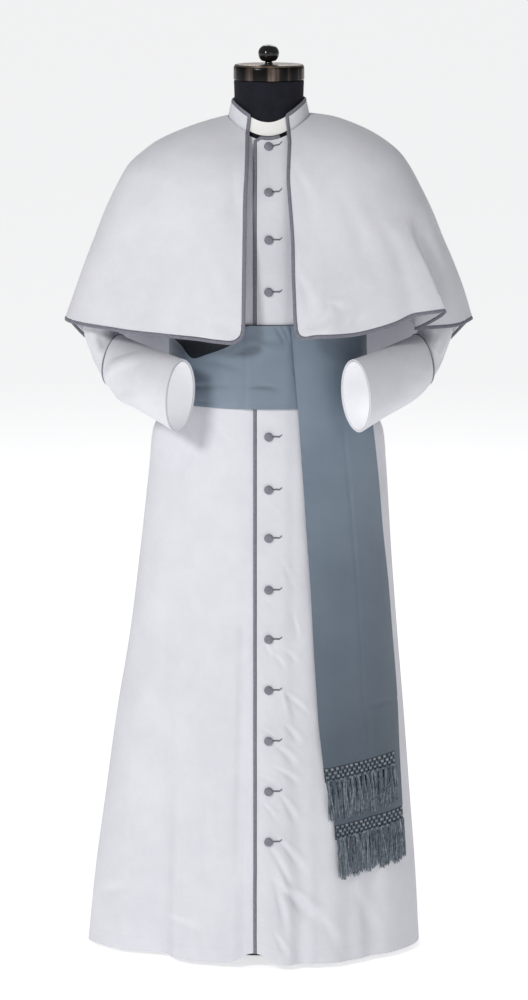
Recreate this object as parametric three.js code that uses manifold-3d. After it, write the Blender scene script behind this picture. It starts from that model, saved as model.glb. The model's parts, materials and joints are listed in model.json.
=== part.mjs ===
import * as THREE from "three";
import Module from "manifold-3d";

// A white cassock with a shoulder cape and a fringed sash, on a limbless dress form.
// Millimetres, +Z up, the front faces -Y and +X is on the right as seen from the front.
// Angles round the garment are in degrees: 0 is the front, 90 the right and 180 the back.

const wasm = await Module();
wasm.setup();

// Cloth and gap sizes
const WALL = 1.6;
const SEAM_GAP = 0.3;
const REST_GAP = 3.0;
const PLACKET_LIFT = 2.6;
const PIPING_WIDTH = 6;
const PIPING_THICKNESS = 2.8;
const PIPING_GAP = 0.4;
const CAPE_PIPING_GAP = 0.8;

// Where the front edges run
const PLACKET_EDGE_X = -19;
const UNDERLAP_X = 14;
const PLACKET_LIFT_FULL_X = 24;
const PLACKET_LIFT_END_X = 46;
const PLACKET_CORNER = 8;
const HEM_NOTCH = { x: -22, width: 30, lift: 22 };

// Armholes
const ARMHOLE_TOP = 3;
const ARMHOLE_BOTTOM = 5;
const ARMHOLE_HALF_ANGLE = 22;
const SLEEVE_SEGMENTS = 14;
const CUFF_START = 8;
const CUFF_GAP = 1.3;
const CUFF_WALL = 1.8;
const CUFF_PIPING_GAP = 1.0;

// Sash
const BAND_TOP_Z = 1120;
const BAND_BOTTOM_Z = 975;
const BAND_GAP = 1.4;
const BAND_WALL = 1.5;
const REAR_TAIL_GAP = 4.5;
const FRONT_TAIL_GAP = 7.7;
const TAIL_WALL = 1.5;
const FRINGE_HEADING = 27;
const FRINGE_LOCKS = 15;
const FRINGE_HEADING_WALL = 3.2;

// Buttons: the height of each above the floor
const BUTTON_HEIGHTS = [1419, 1344, 1265, 1176, 928, 838, 755, 666, 581, 493, 405, 317, 229];
const BUTTON_X = 1;
const BUTTON_RADIUS = 7.8;
const BUTTON_RISE = 4.4;
const BUTTON_GAP = 0.64;
const BUTTON_SIDES = 10;

// Dress form
const BASE_HALF_WIDTH = 160;
const BASE_FRONT = 92;
const BASE_BACK = 140;
const BASE_THICKNESS = 14;
const POLE_RADIUS = 14;
const TORSO_BOTTOM_Z = 800;
const NECK_TOP_Z = 1529;
const CAP_TOP_Z = 1556;
const FORM_SIDES = 24;

// Cross-sections of the cassock from the neck seam down to the hem.
// X is the half-width on each side, Y the depth to front and back, Z the height there.
// The powers shape the plan of the left and right front: 2 is an ellipse.
const SECTION_COLUMNS = [
  "leftX", "leftZ", "rightX", "rightZ", "frontY", "frontZ", "backY", "backZ", "leftPower", "rightPower",
];
const BODY_SECTIONS = sectionTable([
  [69, 1462, 72, 1465, 66, 1430, 60, 1470, 2, 2],
  [80, 1460.5, 83, 1463.5, 70, 1419, 68, 1464, 2, 2],
  [125, 1446, 128, 1454.5, 84, 1394, 95, 1445, 2, 2],
  [172, 1423, 174, 1432, 100, 1362, 109, 1412, 2.1, 2.1],
  [173, 1345, 174, 1350, 115, 1322, 116, 1342, 2.1, 2.1],
  [167, 1262, 167, 1262, 121, 1262, 117, 1262, 2, 2],
  [167, 1190, 167, 1190, 124, 1190, 112, 1190, 2, 2],
  [168, 1120, 168, 1120, 127, 1120, 110, 1120, 2, 2],
  [169, 1045, 169, 1045, 129, 1045, 112, 1045, 2, 2],
  [172, 990, 172, 990, 133, 990, 118, 990, 2, 2],
  [185, 955, 185, 955, 137, 955, 127, 955, 2, 2],
  [201, 919, 201, 919, 142, 919, 136, 919, 2, 2],
  [208, 849, 207, 849, 149, 849, 146, 849, 2, 2],
  [224, 707, 216, 707, 160, 707, 165, 707, 1.9, 2],
  [242, 564, 227, 564, 171, 564, 182, 564, 1.75, 1.9],
  [266, 421, 239, 421, 181, 421, 198, 421, 1.6, 1.8],
  [286, 277, 250, 277, 189, 277, 212, 277, 1.5, 1.75],
  [306, 131, 261, 131, 196, 131, 226, 131, 1.42, 1.7],
  [319, 6, 268, 8, 200, 10, 236, 10, 1.38, 1.7],
]);
const HEM_ROW = 18;

// Long folds of the skirt: the angle of each, its half-width, its depth at the hem
// (outward is positive) and the height where it dies out.
const SKIRT_FOLDS = foldTable([
  [-62, 14, -27, 760],
  [-40, 9, 5, 500],
  [-13, 6, -7, 880],
  [17, 7, -8, 420],
  [34, 10, 6, 700],
  [56, 9, -7, 620],
  [112, 9, 9, 880],
  [128, 8, -12, 900],
  [146, 10, 15, 940],
  [163, 7, -11, 860],
  [180, 9, 14, 950],
  [197, 7, -10, 820],
  [214, 10, 16, 930],
  [232, 8, -13, 880],
  [250, 9, 10, 800],
]);

// Cross-sections of the shoulder cape from the collar down to its hem,
// with the x of its two front edges.
const CAPE_COLUMNS = [...SECTION_COLUMNS, "leftEdgeX", "rightEdgeX"];
const CAPE_SECTIONS = sectionTable([
  [69.9, 1467, 72.9, 1470, 70.5, 1436, 61.2, 1475, 2, 2, -38.5, 38.5],
  [100, 1460, 107, 1467, 84, 1418, 84, 1465, 2, 2, -39, 40],
  [140, 1447, 165, 1447, 104, 1396, 116, 1446, 2, 2, -39.5, 39],
  [190, 1425, 203, 1425, 121, 1368, 138, 1416, 2, 2, -40.5, 38],
  [219, 1404, 228, 1404, 131, 1342, 150, 1386, 2, 2, -42, 39.5],
  [240, 1384, 243, 1384, 138, 1316, 157, 1356, 2, 2, -43, 41.5],
  [264, 1342, 266, 1342, 148, 1278, 165, 1312, 2, 2, -43.5, 44.5],
  [283, 1301, 286, 1301, 157, 1243, 171, 1267, 2, 2, -44, 46],
  [300, 1259, 303, 1259, 165, 1206, 176, 1224, 2, 2, -44.5, 46.5],
  [317, 1217, 321, 1217, 173, 1169, 180, 1181, 2, 2, -45, 48],
  [333, 1172, 338, 1172, 180, 1133, 184, 1140, 2, 2, -45.5, 49.5],
  [351, 1120, 354, 1120, 186, 1097, 188, 1098, 2, 2, -46, 52],
], CAPE_COLUMNS);
const CAPE_HEM_ROW = 11;
const CAPE_CORNER = { left: 22, right: 18 };

// The cape hangs lower behind the arms than in front of them
const CAPE_BACK_DROP = { depth: 95, topRow: 7 };

// Soft folds of the cape
const CAPE_FOLDS = foldTable([
  [-58, 12, 7, 1330],
  [-36, 10, -6, 1300],
  [30, 9, 5, 1260],
  [118, 11, -7, 1320],
  [142, 11, 9, 1350],
  [163, 9, -6, 1300],
  [186, 11, 9, 1360],
  [208, 10, -7, 1310],
  [230, 11, 9, 1340],
  [250, 9, -5, 1290],
]);

// The lapped fold at the right of the cape's hem: how far the cloth is thrown and lifted
// at each angle. It dies out upward, to nothing at CAPE_THROW_TOP.
const CAPE_THROW_TOP = 6.5;
const CAPE_THROW = namedTable(["degrees", "throwX", "throwY", "lift"], [
  [0, 0, 0, 0],
  [14, 0, 0, 3],
  [24, 0, 0, 9],
  [40, 0, 0, 5],
  [50, 0, 0, 10],
  [56, 0, 0, 16],
  [61, 0, 2, 25],
  [65, 14, -1, 29],
  [68, 21, -1, 30],
  [70, 8, 6, 22],
  [73.2, -43, 9, -2],
  [75.4, -62, 7, -8],
  [78, -58, 3, -8],
  [83, -22, -10, -6],
  [90, 0, 0, 0],
]);

// Stand collar
const COLLAR_SECTIONS = sectionTable([
  [69, 1462.6, 72, 1465.6, 66, 1433.5, 60, 1470.6, 2, 2],
  [66, 1480, 69, 1482, 63, 1447, 58.5, 1488, 2, 2],
  [63, 1492, 66, 1494, 60.5, 1461, 57, 1505, 2, 2],
]);
const COLLAR_END_ANGLE = 35;
const TAB_END_ANGLE = 40;
const TAB_INSET = 2.8;

// Rings of the left sleeve. Each has a point on the outer side of the arm, one on its
// inner side and a half-axis to the front. The right sleeve is its mirror image.
const SLEEVE_RINGS = namedTable(
  ["outerX", "outerY", "outerZ", "innerX", "innerY", "innerZ", "frontX", "frontY", "frontZ"],
  [
    [-198, 1, 1396, -182, 1, 1244, -4, -62, 0],
    [-233, 3, 1352, -184, 3, 1226, -2, -62, 0],
    [-265, 6, 1285, -189, 6, 1200, 0, -62, 0],
    [-294, 8, 1205, -206, 8, 1160, 0, -60, 0],
    [-311, 8, 1145, -234, 6, 1122, 0, -58, 0],
    [-320, 4, 1098, -262, 0, 1097, -2, -56, 0],
    [-302, -8, 1052, -263, -24, 1091, -10, -54, -4],
    [-268, -32, 1005, -260, -42, 1088, -17, -50, -4],
    [-229, -80, 979, -226, -88, 1080, -30, -44, 0],
    [-191, -132, 964, -187, -140, 1072, -29, -44, 0],
    [-152, -184, 946, -147, -186, 1065, -22, -46, 0],
  ],
);
const SLEEVE_END = 11;

// The sash tails: x of the two edges at each height
const TAIL_EDGES = namedTable(["z", "leftX", "rightX"], [
  [1120, 38, 166],
  [974, 51, 176],
  [897, 56.5, 185],
  [835, 61, 191],
  [764, 65.5, 196],
  [658, 73, 204],
  [570, 78, 209],
  [500, 82, 213],
  [430, 87, 217],
  [350, 96, 221],
  [260, 105, 226],
  [150, 112, 233],
]);
const FRONT_TAIL_BOTTOM = { left: 354, right: 366 };
const REAR_TAIL_BOTTOM = { left: 252, right: 264 };
const REAR_TAIL_SHIFT = 9;
const FRONT_FRINGE_LENGTH = 101;
const REAR_FRINGE_LENGTH = 103;

// The dress form's trunk below the shoulders, as sections
const TORSO_SECTIONS = sectionTable([
  [158, 1330, 158, 1330, 101, 1322, 101, 1330, 2.1, 2.1],
  [155, 1270, 155, 1270, 106, 1270, 102, 1270, 2, 2],
  [148, 1180, 148, 1180, 103, 1180, 93, 1180, 2, 2],
  [142, 1080, 142, 1080, 98, 1080, 88, 1080, 2, 2],
  [150, 1000, 150, 1000, 102, 1000, 96, 1000, 2, 2],
  [162, 900, 162, 900, 110, 900, 114, 900, 2, 2],
  [157, TORSO_BOTTOM_Z, 157, TORSO_BOTTOM_Z, 104, TORSO_BOTTOM_Z, 108, TORSO_BOTTOM_Z, 2, 2],
]);

// Tables: named columns, read between their rows along a smooth line

function namedTable(columns, rows) {
  const table = {};
  columns.forEach((name, index) => {
    const values = rows.map((row) => row[index]);
    table[name] = { values, slopes: smoothSlopes(values) };
  });
  table.count = rows.length;
  return table;
}

function sectionTable(rows, columns = SECTION_COLUMNS) {
  return namedTable(columns, rows);
}

function foldTable(rows) {
  return rows.map(([angle, halfWidth, depth, topZ]) => ({ angle, halfWidth, depth, topZ }));
}

function smoothSlopes(values) {
  const steps = values.slice(1).map((value, index) => value - values[index]);
  return values.map((value, index) => {
    const before = steps[index - 1];
    const after = steps[index];
    if (before === undefined) return after;
    if (after === undefined) return before;
    return before * after <= 0 ? 0 : (2 * before * after) / (before + after);
  });
}

function readColumn(column, position) {
  const last = column.values.length - 1;
  const start = Math.min(Math.max(Math.floor(position), 0), last - 1);
  const t = position - start;
  const a = column.values[start];
  const b = column.values[start + 1];
  if (t < 0) return a + column.slopes[start] * t;
  if (t > 1) return b + column.slopes[start + 1] * (t - 1);
  const square = t * t;
  const cube = square * t;
  return a * (2 * cube - 3 * square + 1) + b * (3 * square - 2 * cube)
    + column.slopes[start] * (cube - 2 * square + t)
    + column.slopes[start + 1] * (cube - square);
}

function readTable(table, position) {
  const row = {};
  for (const name of Object.keys(table)) {
    if (name !== "count") row[name] = readColumn(table[name], position);
  }
  return row;
}

// The row position at which a falling or rising column reaches a value
function positionOf(column, value) {
  let low = 0;
  let high = column.values.length - 1;
  const rising = column.values[high] > column.values[0];
  for (let step = 0; step < 40; step += 1) {
    const middle = (low + high) / 2;
    if (readColumn(column, middle) < value === rising) low = middle;
    else high = middle;
  }
  return (low + high) / 2;
}

function smoothStep(value, from, to) {
  const t = Math.min(Math.max((value - from) / (to - from), 0), 1);
  return t * t * (3 - 2 * t);
}

// The point of a cross-section at an angle round it
function pointOnSection(row, degrees) {
  const angle = THREE.MathUtils.degToRad(degrees);
  const across = Math.sin(angle);
  const ahead = Math.cos(angle);
  const sideX = across < 0 ? row.leftX : row.rightX;
  const sideZ = across < 0 ? row.leftZ : row.rightZ;
  const depth = ahead < 0 ? row.backY : row.frontY;
  const depthZ = ahead < 0 ? row.backZ : row.frontZ;
  const frontPower = across < 0 ? row.leftPower : row.rightPower;
  const power = ahead < 0 ? 2 : frontPower;
  const sum = Math.pow(Math.abs(across) / sideX, power) + Math.pow(Math.abs(ahead) / depth, power);
  const reach = Math.pow(sum, -1 / power);
  const height = sideZ + (depthZ - sideZ) * ahead * ahead;
  return new THREE.Vector3(reach * across, -reach * ahead, height);
}

function foldDepth(folds, degrees, z, hemZ) {
  let depth = 0;
  for (const fold of folds) {
    const turn = THREE.MathUtils.euclideanModulo(degrees - fold.angle + 180, 360) - 180;
    const t = turn / fold.halfWidth;
    const rise = Math.min(Math.max((fold.topZ - z) / (fold.topZ - hemZ), 0), 1);
    if (Math.abs(t) < 1) depth += fold.depth * 0.5 * (1 + Math.cos(Math.PI * t)) * Math.pow(rise, 1.4);
  }
  return depth;
}

function pushOut(point, distance) {
  const reach = Math.hypot(point.x, point.y);
  point.x *= 1 + distance / reach;
  point.y *= 1 + distance / reach;
  return point;
}

// The outer surface of the cassock's body
function bodyPoint(degrees, position) {
  const point = pointOnSection(readTable(BODY_SECTIONS, position), degrees);
  pushOut(point, foldDepth(SKIRT_FOLDS, degrees, point.z, 10));
  const nearHem = smoothStep(position, HEM_ROW - 1.2, HEM_ROW);
  const notch = Math.exp(-Math.pow((point.x - HEM_NOTCH.x) / HEM_NOTCH.width, 2));
  if (point.y < 0) point.z += HEM_NOTCH.lift * notch * nearHem;
  return point;
}

// The outer surface of the cape
function capePoint(degrees, position) {
  const point = pointOnSection(readTable(CAPE_SECTIONS, position), degrees);
  pushOut(point, foldDepth(CAPE_FOLDS, degrees, point.z, 1097));
  const behind = smoothStep(-Math.cos(THREE.MathUtils.degToRad(degrees)), 0.02, 0.5);
  const below = Math.max((position - CAPE_BACK_DROP.topRow) / (CAPE_HEM_ROW - CAPE_BACK_DROP.topRow), 0);
  point.z -= CAPE_BACK_DROP.depth * behind * Math.pow(below, 1.2);
  const turned = THREE.MathUtils.euclideanModulo(degrees, 360);
  if (turned > 0 && turned < 90) {
    const thrown = readTable(CAPE_THROW, positionOf(CAPE_THROW.degrees, turned));
    const span = (position - CAPE_THROW_TOP) / (CAPE_HEM_ROW - CAPE_THROW_TOP);
    const rise = Math.pow(Math.min(Math.max(span, 0), 1.1), 1.3);
    point.x += thrown.throwX * rise;
    point.y += thrown.throwY * rise;
    point.z += thrown.lift * rise;
  }
  return point;
}

// The collar's outer surface; its rows run upward, so its normal is turned round
function collarPoint(degrees, position) {
  return pointOnSection(readTable(COLLAR_SECTIONS, position), degrees);
}

function offsetCollar(degrees, position, distance) {
  return offsetPoint(collarPoint, degrees, position, -distance);
}

// A surface moved out along its own normal
function offsetPoint(surface, u, v, distance, stepU = 1.2, stepV = 0.04) {
  const alongU = surface(u + stepU, v).sub(surface(u - stepU, v));
  const alongV = surface(u, v + stepV).sub(surface(u, v - stepV));
  const normal = alongU.cross(alongV).normalize();
  const point = surface(u, v);
  return point.addScaledVector(normal, -distance);
}

// The angle at which a surface has a given x, on its front half
function angleAtX(surface, x, position) {
  let low = -89;
  let high = 89;
  for (let step = 0; step < 40; step += 1) {
    const middle = (low + high) / 2;
    if (surface(middle, position).x < x) low = middle;
    else high = middle;
  }
  return (low + high) / 2;
}

// Meshes

function finishMesh(name, vertices, triangles, material) {
  const positions = new Float32Array(vertices.length * 3);
  vertices.forEach((vertex, index) => vertex.toArray(positions, index * 3));
  let volume = 0;
  for (let i = 0; i < triangles.length; i += 3) {
    const a = vertices[triangles[i]];
    const b = vertices[triangles[i + 1]];
    const c = vertices[triangles[i + 2]];
    volume += a.dot(new THREE.Vector3().crossVectors(b, c));
  }
  if (volume < 0) triangles.reverse();
  const geometry = new THREE.BufferGeometry();
  geometry.setAttribute("position", new THREE.BufferAttribute(positions, 3));
  geometry.setIndex(triangles);
  geometry.computeVertexNormals();
  const mesh = new THREE.Mesh(geometry, material);
  mesh.name = name;
  return mesh;
}

// A hollow wall between two grids of points, closed along its edges
function wallMesh(name, outside, inside, closedRound, material) {
  const rows = outside.length;
  const columns = outside[0].length;
  const vertices = [...outside.flat(), ...inside.flat()];
  const innerStart = rows * columns;
  const triangles = [];
  const quad = (a, b, c, d) => triangles.push(a, b, c, a, c, d);
  const spans = closedRound ? columns : columns - 1;
  for (let row = 0; row < rows - 1; row += 1) {
    for (let column = 0; column < spans; column += 1) {
      const next = (column + 1) % columns;
      const a = row * columns + column;
      const b = row * columns + next;
      const c = (row + 1) * columns + next;
      const d = (row + 1) * columns + column;
      quad(a, b, c, d);
      quad(c + innerStart, b + innerStart, a + innerStart, d + innerStart);
    }
  }
  for (let column = 0; column < spans; column += 1) {
    const next = (column + 1) % columns;
    const last = (rows - 1) * columns;
    quad(next, column, column + innerStart, next + innerStart);
    quad(last + column, last + next, last + next + innerStart, last + column + innerStart);
  }
  for (let row = 0; row < rows - 1 && !closedRound; row += 1) {
    const a = row * columns;
    const b = (row + 1) * columns;
    quad(a, b, b + innerStart, a + innerStart);
    const c = a + columns - 1;
    const d = b + columns - 1;
    quad(d, c, c + innerStart, d + innerStart);
  }
  return finishMesh(name, vertices, triangles, material);
}

// A solid through closed rings, with a flat or pointed end at each side
function ringsMesh(name, rings, material) {
  const { vertices, triangles } = ringsData(rings);
  return finishMesh(name, vertices, triangles, material);
}

function ringsData(rings) {
  const count = rings[0].length;
  const vertices = rings.flat();
  const triangles = [];
  for (let ring = 0; ring < rings.length - 1; ring += 1) {
    for (let side = 0; side < count; side += 1) {
      const next = (side + 1) % count;
      const a = ring * count + side;
      const b = ring * count + next;
      const c = (ring + 1) * count + next;
      const d = (ring + 1) * count + side;
      triangles.push(a, b, c, a, c, d);
    }
  }
  const last = (rings.length - 1) * count;
  for (let side = 1; side < count - 1; side += 1) {
    triangles.push(0, side + 1, side);
    triangles.push(last, last + side, last + side + 1);
  }
  return { vertices, triangles };
}

// A round strip or binding: the same profile at each point of a path
function stripRings(path, profile) {
  return path.map((place) => profile.map(([out, up]) => place.point.clone()
    .addScaledVector(place.away, out)
    .addScaledVector(place.normal, up)));
}

function bindingProfile(gap) {
  return [
    [gap, -PIPING_THICKNESS * 0.42],
    [gap + PIPING_WIDTH * 0.5, -PIPING_THICKNESS * 0.5],
    [gap + PIPING_WIDTH, -PIPING_THICKNESS * 0.3],
    [gap + PIPING_WIDTH, PIPING_THICKNESS * 0.3],
    [gap + PIPING_WIDTH * 0.5, PIPING_THICKNESS * 0.5],
    [gap, PIPING_THICKNESS * 0.42],
  ];
}

// Edge points of two grids become a path: the middle of the wall, its normal,
// and the direction away from the cloth.
function edgePath(outsideEdge, insideEdge, side) {
  const middle = outsideEdge.map((point, index) => point.clone().add(insideEdge[index]).multiplyScalar(0.5));
  return middle.map((point, index) => {
    const before = middle[Math.max(index - 1, 0)];
    const after = middle[Math.min(index + 1, middle.length - 1)];
    const along = after.clone().sub(before).normalize();
    const normal = outsideEdge[index].clone().sub(insideEdge[index]).normalize();
    const away = along.clone().cross(normal).multiplyScalar(side).normalize();
    return { point, normal, away };
  });
}

// Materials

function whiteCloth() {
  return new THREE.MeshStandardMaterial({ color: 0xeeeef3, roughness: 0.85, metalness: 0 });
}

function greyPiping() {
  return new THREE.MeshStandardMaterial({ color: 0x777884, roughness: 0.7, metalness: 0 });
}

function slateSatin() {
  return new THREE.MeshStandardMaterial({ color: 0x8496ad, roughness: 0.45, metalness: 0 });
}

function slateFringe() {
  return new THREE.MeshStandardMaterial({ color: 0x55636f, roughness: 0.6, metalness: 0 });
}

function darkCloth() {
  return new THREE.MeshStandardMaterial({ color: 0x14161f, roughness: 0.9, metalness: 0 });
}

function darkMetal() {
  return new THREE.MeshStandardMaterial({ color: 0x2b2624, roughness: 0.25, metalness: 0.8 });
}

function blackGloss() {
  return new THREE.MeshStandardMaterial({ color: 0x08080a, roughness: 0.15, metalness: 0.1 });
}

function blackPaint() {
  return new THREE.MeshStandardMaterial({ color: 0x1c1c1f, roughness: 0.5, metalness: 0.2 });
}

// Body panels

// Row positions: the armhole rows match the sleeve's segments
function bodyRows() {
  const rows = [0, 0.35, 0.8, 1.1, 1.4, 1.85, 2.4];
  const half = (ARMHOLE_BOTTOM - ARMHOLE_TOP) / 2;
  for (let step = 0; step <= SLEEVE_SEGMENTS / 2; step += 1) {
    const turn = (step / (SLEEVE_SEGMENTS / 2)) * Math.PI;
    rows.push(ARMHOLE_TOP + half - half * Math.cos(turn));
  }
  return [...rows, 6, 7, 8, 9, 9.4, 10, 11, 12, 13, 14, 15, 16, 17, 18];
}

// How far an armhole opens forward or back of the side, in degrees
function armholeAngle(position) {
  const half = (ARMHOLE_BOTTOM - ARMHOLE_TOP) / 2;
  const t = (position - ARMHOLE_TOP - half) / half;
  return Math.abs(t) >= 1 ? 0 : ARMHOLE_HALF_ANGLE * Math.sqrt(1 - t * t);
}

function seamAngle(position) {
  const section = readTable(BODY_SECTIONS, position);
  const reach = Math.min(section.leftX, section.rightX);
  return THREE.MathUtils.radToDeg((SEAM_GAP * 0.6) / reach);
}

function sideAngle(position) {
  return 90 - seamAngle(position) - armholeAngle(position);
}

function placketLift(degrees, position) {
  const x = bodyPoint(degrees, position).x;
  return PLACKET_LIFT * (1 - smoothStep(x, PLACKET_LIFT_FULL_X, PLACKET_LIFT_END_X));
}

function liftedBody(degrees, position, distance) {
  return offsetPoint(bodyPoint, degrees, position, placketLift(degrees, position) + distance);
}

function placketEdgeX(position) {
  const t = 1 - Math.min(position / 0.8, 1);
  return PLACKET_EDGE_X + PLACKET_CORNER * (1 - Math.sqrt(Math.max(1 - t * t, 0)));
}

function panelGrid(rows, fromAngle, toAngle, shares, place) {
  return rows.map((position) => shares.map((share) => {
    const from = fromAngle(position);
    const to = toAngle(position);
    return place(from + (to - from) * share, position);
  }));
}

const FRONT_SHARES = [0, 0.1, 0.2, 0.3, 0.4, 0.5, 0.6, 0.7, 0.78, 0.86, 0.94, 1];

function buildUnderFront() {
  const rows = bodyRows();
  const from = (position) => -sideAngle(position);
  const to = (position) => angleAtX(bodyPoint, UNDERLAP_X, position);
  const outside = panelGrid(rows, from, to, FRONT_SHARES, (u, v) => offsetPoint(bodyPoint, u, v, 0));
  const inside = panelGrid(rows, from, to, FRONT_SHARES, (u, v) => offsetPoint(bodyPoint, u, v, -WALL));
  return wallMesh("front_under", outside, inside, false, whiteCloth());
}

const PLACKET_SHARES = FRONT_SHARES.map((share) => 1 - share).reverse();

function placketGrid(distance) {
  const from = (position) => angleAtX(bodyPoint, placketEdgeX(position), position);
  return panelGrid(bodyRows(), from, sideAngle, PLACKET_SHARES, (u, v) => liftedBody(u, v, distance));
}

function buildButtonFront() {
  return wallMesh("front_button", placketGrid(0), placketGrid(-WALL), false, whiteCloth());
}

function buildBack() {
  const rows = bodyRows();
  const shares = Array.from({ length: 20 }, (unused, index) => index / 19);
  const from = (position) => 180 - sideAngle(position);
  const to = (position) => 180 + sideAngle(position);
  const outside = panelGrid(rows, from, to, shares, (u, v) => offsetPoint(bodyPoint, u, v, 0));
  const inside = panelGrid(rows, from, to, shares, (u, v) => offsetPoint(bodyPoint, u, v, -WALL));
  return wallMesh("back", outside, inside, false, whiteCloth());
}

function buildPlacketPiping() {
  const outside = placketGrid(0);
  const inside = placketGrid(-WALL);
  const top = 6;
  const outsideEdge = [...outside[0].slice(1, top).reverse(), ...outside.map((row) => row[0])];
  const insideEdge = [...inside[0].slice(1, top).reverse(), ...inside.map((row) => row[0])];
  const path = edgePath(outsideEdge, insideEdge, 1);
  return ringsMesh("piping_placket", stripRings(path, bindingProfile(PIPING_GAP)), greyPiping());
}

// Sleeves and cuffs

function sleeveRing(position, turn) {
  const ring = readTable(SLEEVE_RINGS, position - 1);
  const outer = new THREE.Vector3(ring.outerX, ring.outerY, ring.outerZ);
  const inner = new THREE.Vector3(ring.innerX, ring.innerY, ring.innerZ);
  const front = new THREE.Vector3(ring.frontX, ring.frontY, ring.frontZ);
  const centre = outer.clone().add(inner).multiplyScalar(0.5);
  const half = outer.sub(inner).multiplyScalar(0.5);
  return centre.addScaledVector(half, Math.cos(turn)).addScaledVector(front, Math.sin(turn));
}

function armholePoint(turn) {
  const half = (ARMHOLE_BOTTOM - ARMHOLE_TOP) / 2;
  const position = ARMHOLE_TOP + half - half * Math.cos(turn);
  const middle = bodyPoint(-90, ARMHOLE_TOP + half);
  const point = bodyPoint(-90 + ARMHOLE_HALF_ANGLE * Math.sin(turn), position);
  return point.lerp(middle, 0.016);
}

// The outer surface of the left sleeve, from its armhole at 0 to its end
function sleevePoint(turnDegrees, position) {
  const turn = THREE.MathUtils.degToRad(turnDegrees);
  if (position >= 1) return sleeveRing(position, turn);
  return armholePoint(turn).lerp(sleeveRing(1, turn), position);
}

function sleeveGrid(positions, distance) {
  return positions.map((position) => Array.from({ length: SLEEVE_SEGMENTS }, (unused, index) => {
    const turn = (index / SLEEVE_SEGMENTS) * 360;
    const place = typeof position === "function" ? position(turn) : position;
    return offsetPoint(sleevePoint, turn, place, distance, 5, 0.05);
  }));
}

// How much of a row a length along the sleeve takes, just above the cuff
function sleeveShare(turn, length) {
  const span = sleevePoint(turn, CUFF_START).distanceTo(sleevePoint(turn, CUFF_START - 0.1)) * 10;
  return length / span;
}

function mirrored(grid, side) {
  return grid.map((row) => row.map((point) => new THREE.Vector3(-side * point.x, point.y, point.z)));
}

function buildSleeve(name, side) {
  const positions = [0.04, 0.6, 1.4, 2.2, 3, 4, 5, 5.7, 6.4, 7.1, 7.7, CUFF_START, 8.9, 9.9, SLEEVE_END];
  const outside = mirrored(sleeveGrid(positions, 0), side);
  const inside = mirrored(sleeveGrid(positions, -WALL), side);
  return wallMesh(name, outside, inside, true, whiteCloth());
}

function buildCuff(name, side) {
  const positions = [CUFF_START, 8.9, 9.9, SLEEVE_END];
  const outside = mirrored(sleeveGrid(positions, CUFF_GAP + CUFF_WALL), side);
  const inside = mirrored(sleeveGrid(positions, CUFF_GAP), side);
  return wallMesh(name, outside, inside, true, whiteCloth());
}

function buildCuffPiping(name, side) {
  const positions = [
    (turn) => CUFF_START - sleeveShare(turn, SEAM_GAP + PIPING_WIDTH),
    (turn) => CUFF_START - sleeveShare(turn, CUFF_PIPING_GAP),
  ];
  const outside = mirrored(sleeveGrid(positions, CUFF_GAP + PIPING_THICKNESS), side);
  const inside = mirrored(sleeveGrid(positions, CUFF_GAP), side);
  return wallMesh(name, outside, inside, true, greyPiping());
}

// Cape

const CAPE_ROWS = [0, 1, 2, 3, 4, 5, 6, 7, 8, 9, 10, 10.45, 11];
const CAPE_EDGE_SHARES = [0, 0.03, 0.08, 0.15, 0.32, 0.55, 0.78];
const CAPE_FIXED_ANGLES = [
  60, 63, 65.5, 67.5, 69.5, 71.5, 73.2, 74.8, 76.4, 78, 80.5, 85, 92, 105, 118, 130, 142, 153, 164,
  175, 186, 197, 208, 219, 230, 242, 255, 268, 278, 288, 300,
];

function capeColumns() {
  const right = CAPE_EDGE_SHARES.map((share) => ({ side: 1, share }));
  const middle = CAPE_FIXED_ANGLES.map((angle) => ({ side: 0, angle }));
  const left = CAPE_EDGE_SHARES.map((share) => ({ side: -1, share })).reverse();
  return [...right, ...middle, ...left];
}

function capeAngle(column, position) {
  if (column.side === 0) return column.angle;
  const section = readTable(CAPE_SECTIONS, position);
  const edgeX = column.side > 0 ? section.rightEdgeX : section.leftEdgeX;
  const edge = angleAtX(capePoint, edgeX, position);
  const meet = column.side > 0 ? CAPE_FIXED_ANGLES[0] : CAPE_FIXED_ANGLES.at(-1) - 360;
  const angle = edge + (meet - edge) * column.share;
  return column.side > 0 ? angle : angle + 360;
}

// The rounded front corners shorten the last rows near the edges
function capeEnd(column) {
  if (column.side === 0) return CAPE_HEM_ROW;
  const radius = column.side > 0 ? CAPE_CORNER.right : CAPE_CORNER.left;
  const along = Math.min(column.share * 155, radius);
  const drop = radius - Math.sqrt(Math.max(radius * radius - (radius - along) * (radius - along), 0));
  return CAPE_HEM_ROW - drop / 40;
}

function capeGrid(distance) {
  const columns = capeColumns();
  return CAPE_ROWS.map((row) => columns.map((column) => {
    const end = capeEnd(column);
    const position = row <= 10 ? row : 10 + (row - 10) * (end - 10);
    return offsetPoint(capePoint, capeAngle(column, position), position, distance, 0.5);
  }));
}

function buildCape() {
  return wallMesh("cape", capeGrid(0), capeGrid(-WALL), false, whiteCloth());
}

function buildCapePiping() {
  const edges = [capeGrid(0), capeGrid(-WALL)].map((grid) => {
    const right = grid.map((row) => row[0]);
    const hem = grid.at(-1).slice(1, -1);
    const left = grid.map((row) => row.at(-1)).reverse();
    return [...right, ...hem, ...left];
  });
  const path = edgePath(edges[0], edges[1], 1);
  return ringsMesh("piping_cape", stripRings(path, bindingProfile(CAPE_PIPING_GAP)), greyPiping());
}

// Collar

function collarGrid(distance) {
  const angles = Array.from({ length: 25 }, (unused, index) => {
    return COLLAR_END_ANGLE + (index / 24) * (360 - 2 * COLLAR_END_ANGLE);
  });
  return [0, 1, 1.88].map((position) => angles.map((angle) => {
    return offsetCollar(angle, position, distance);
  }));
}

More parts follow.
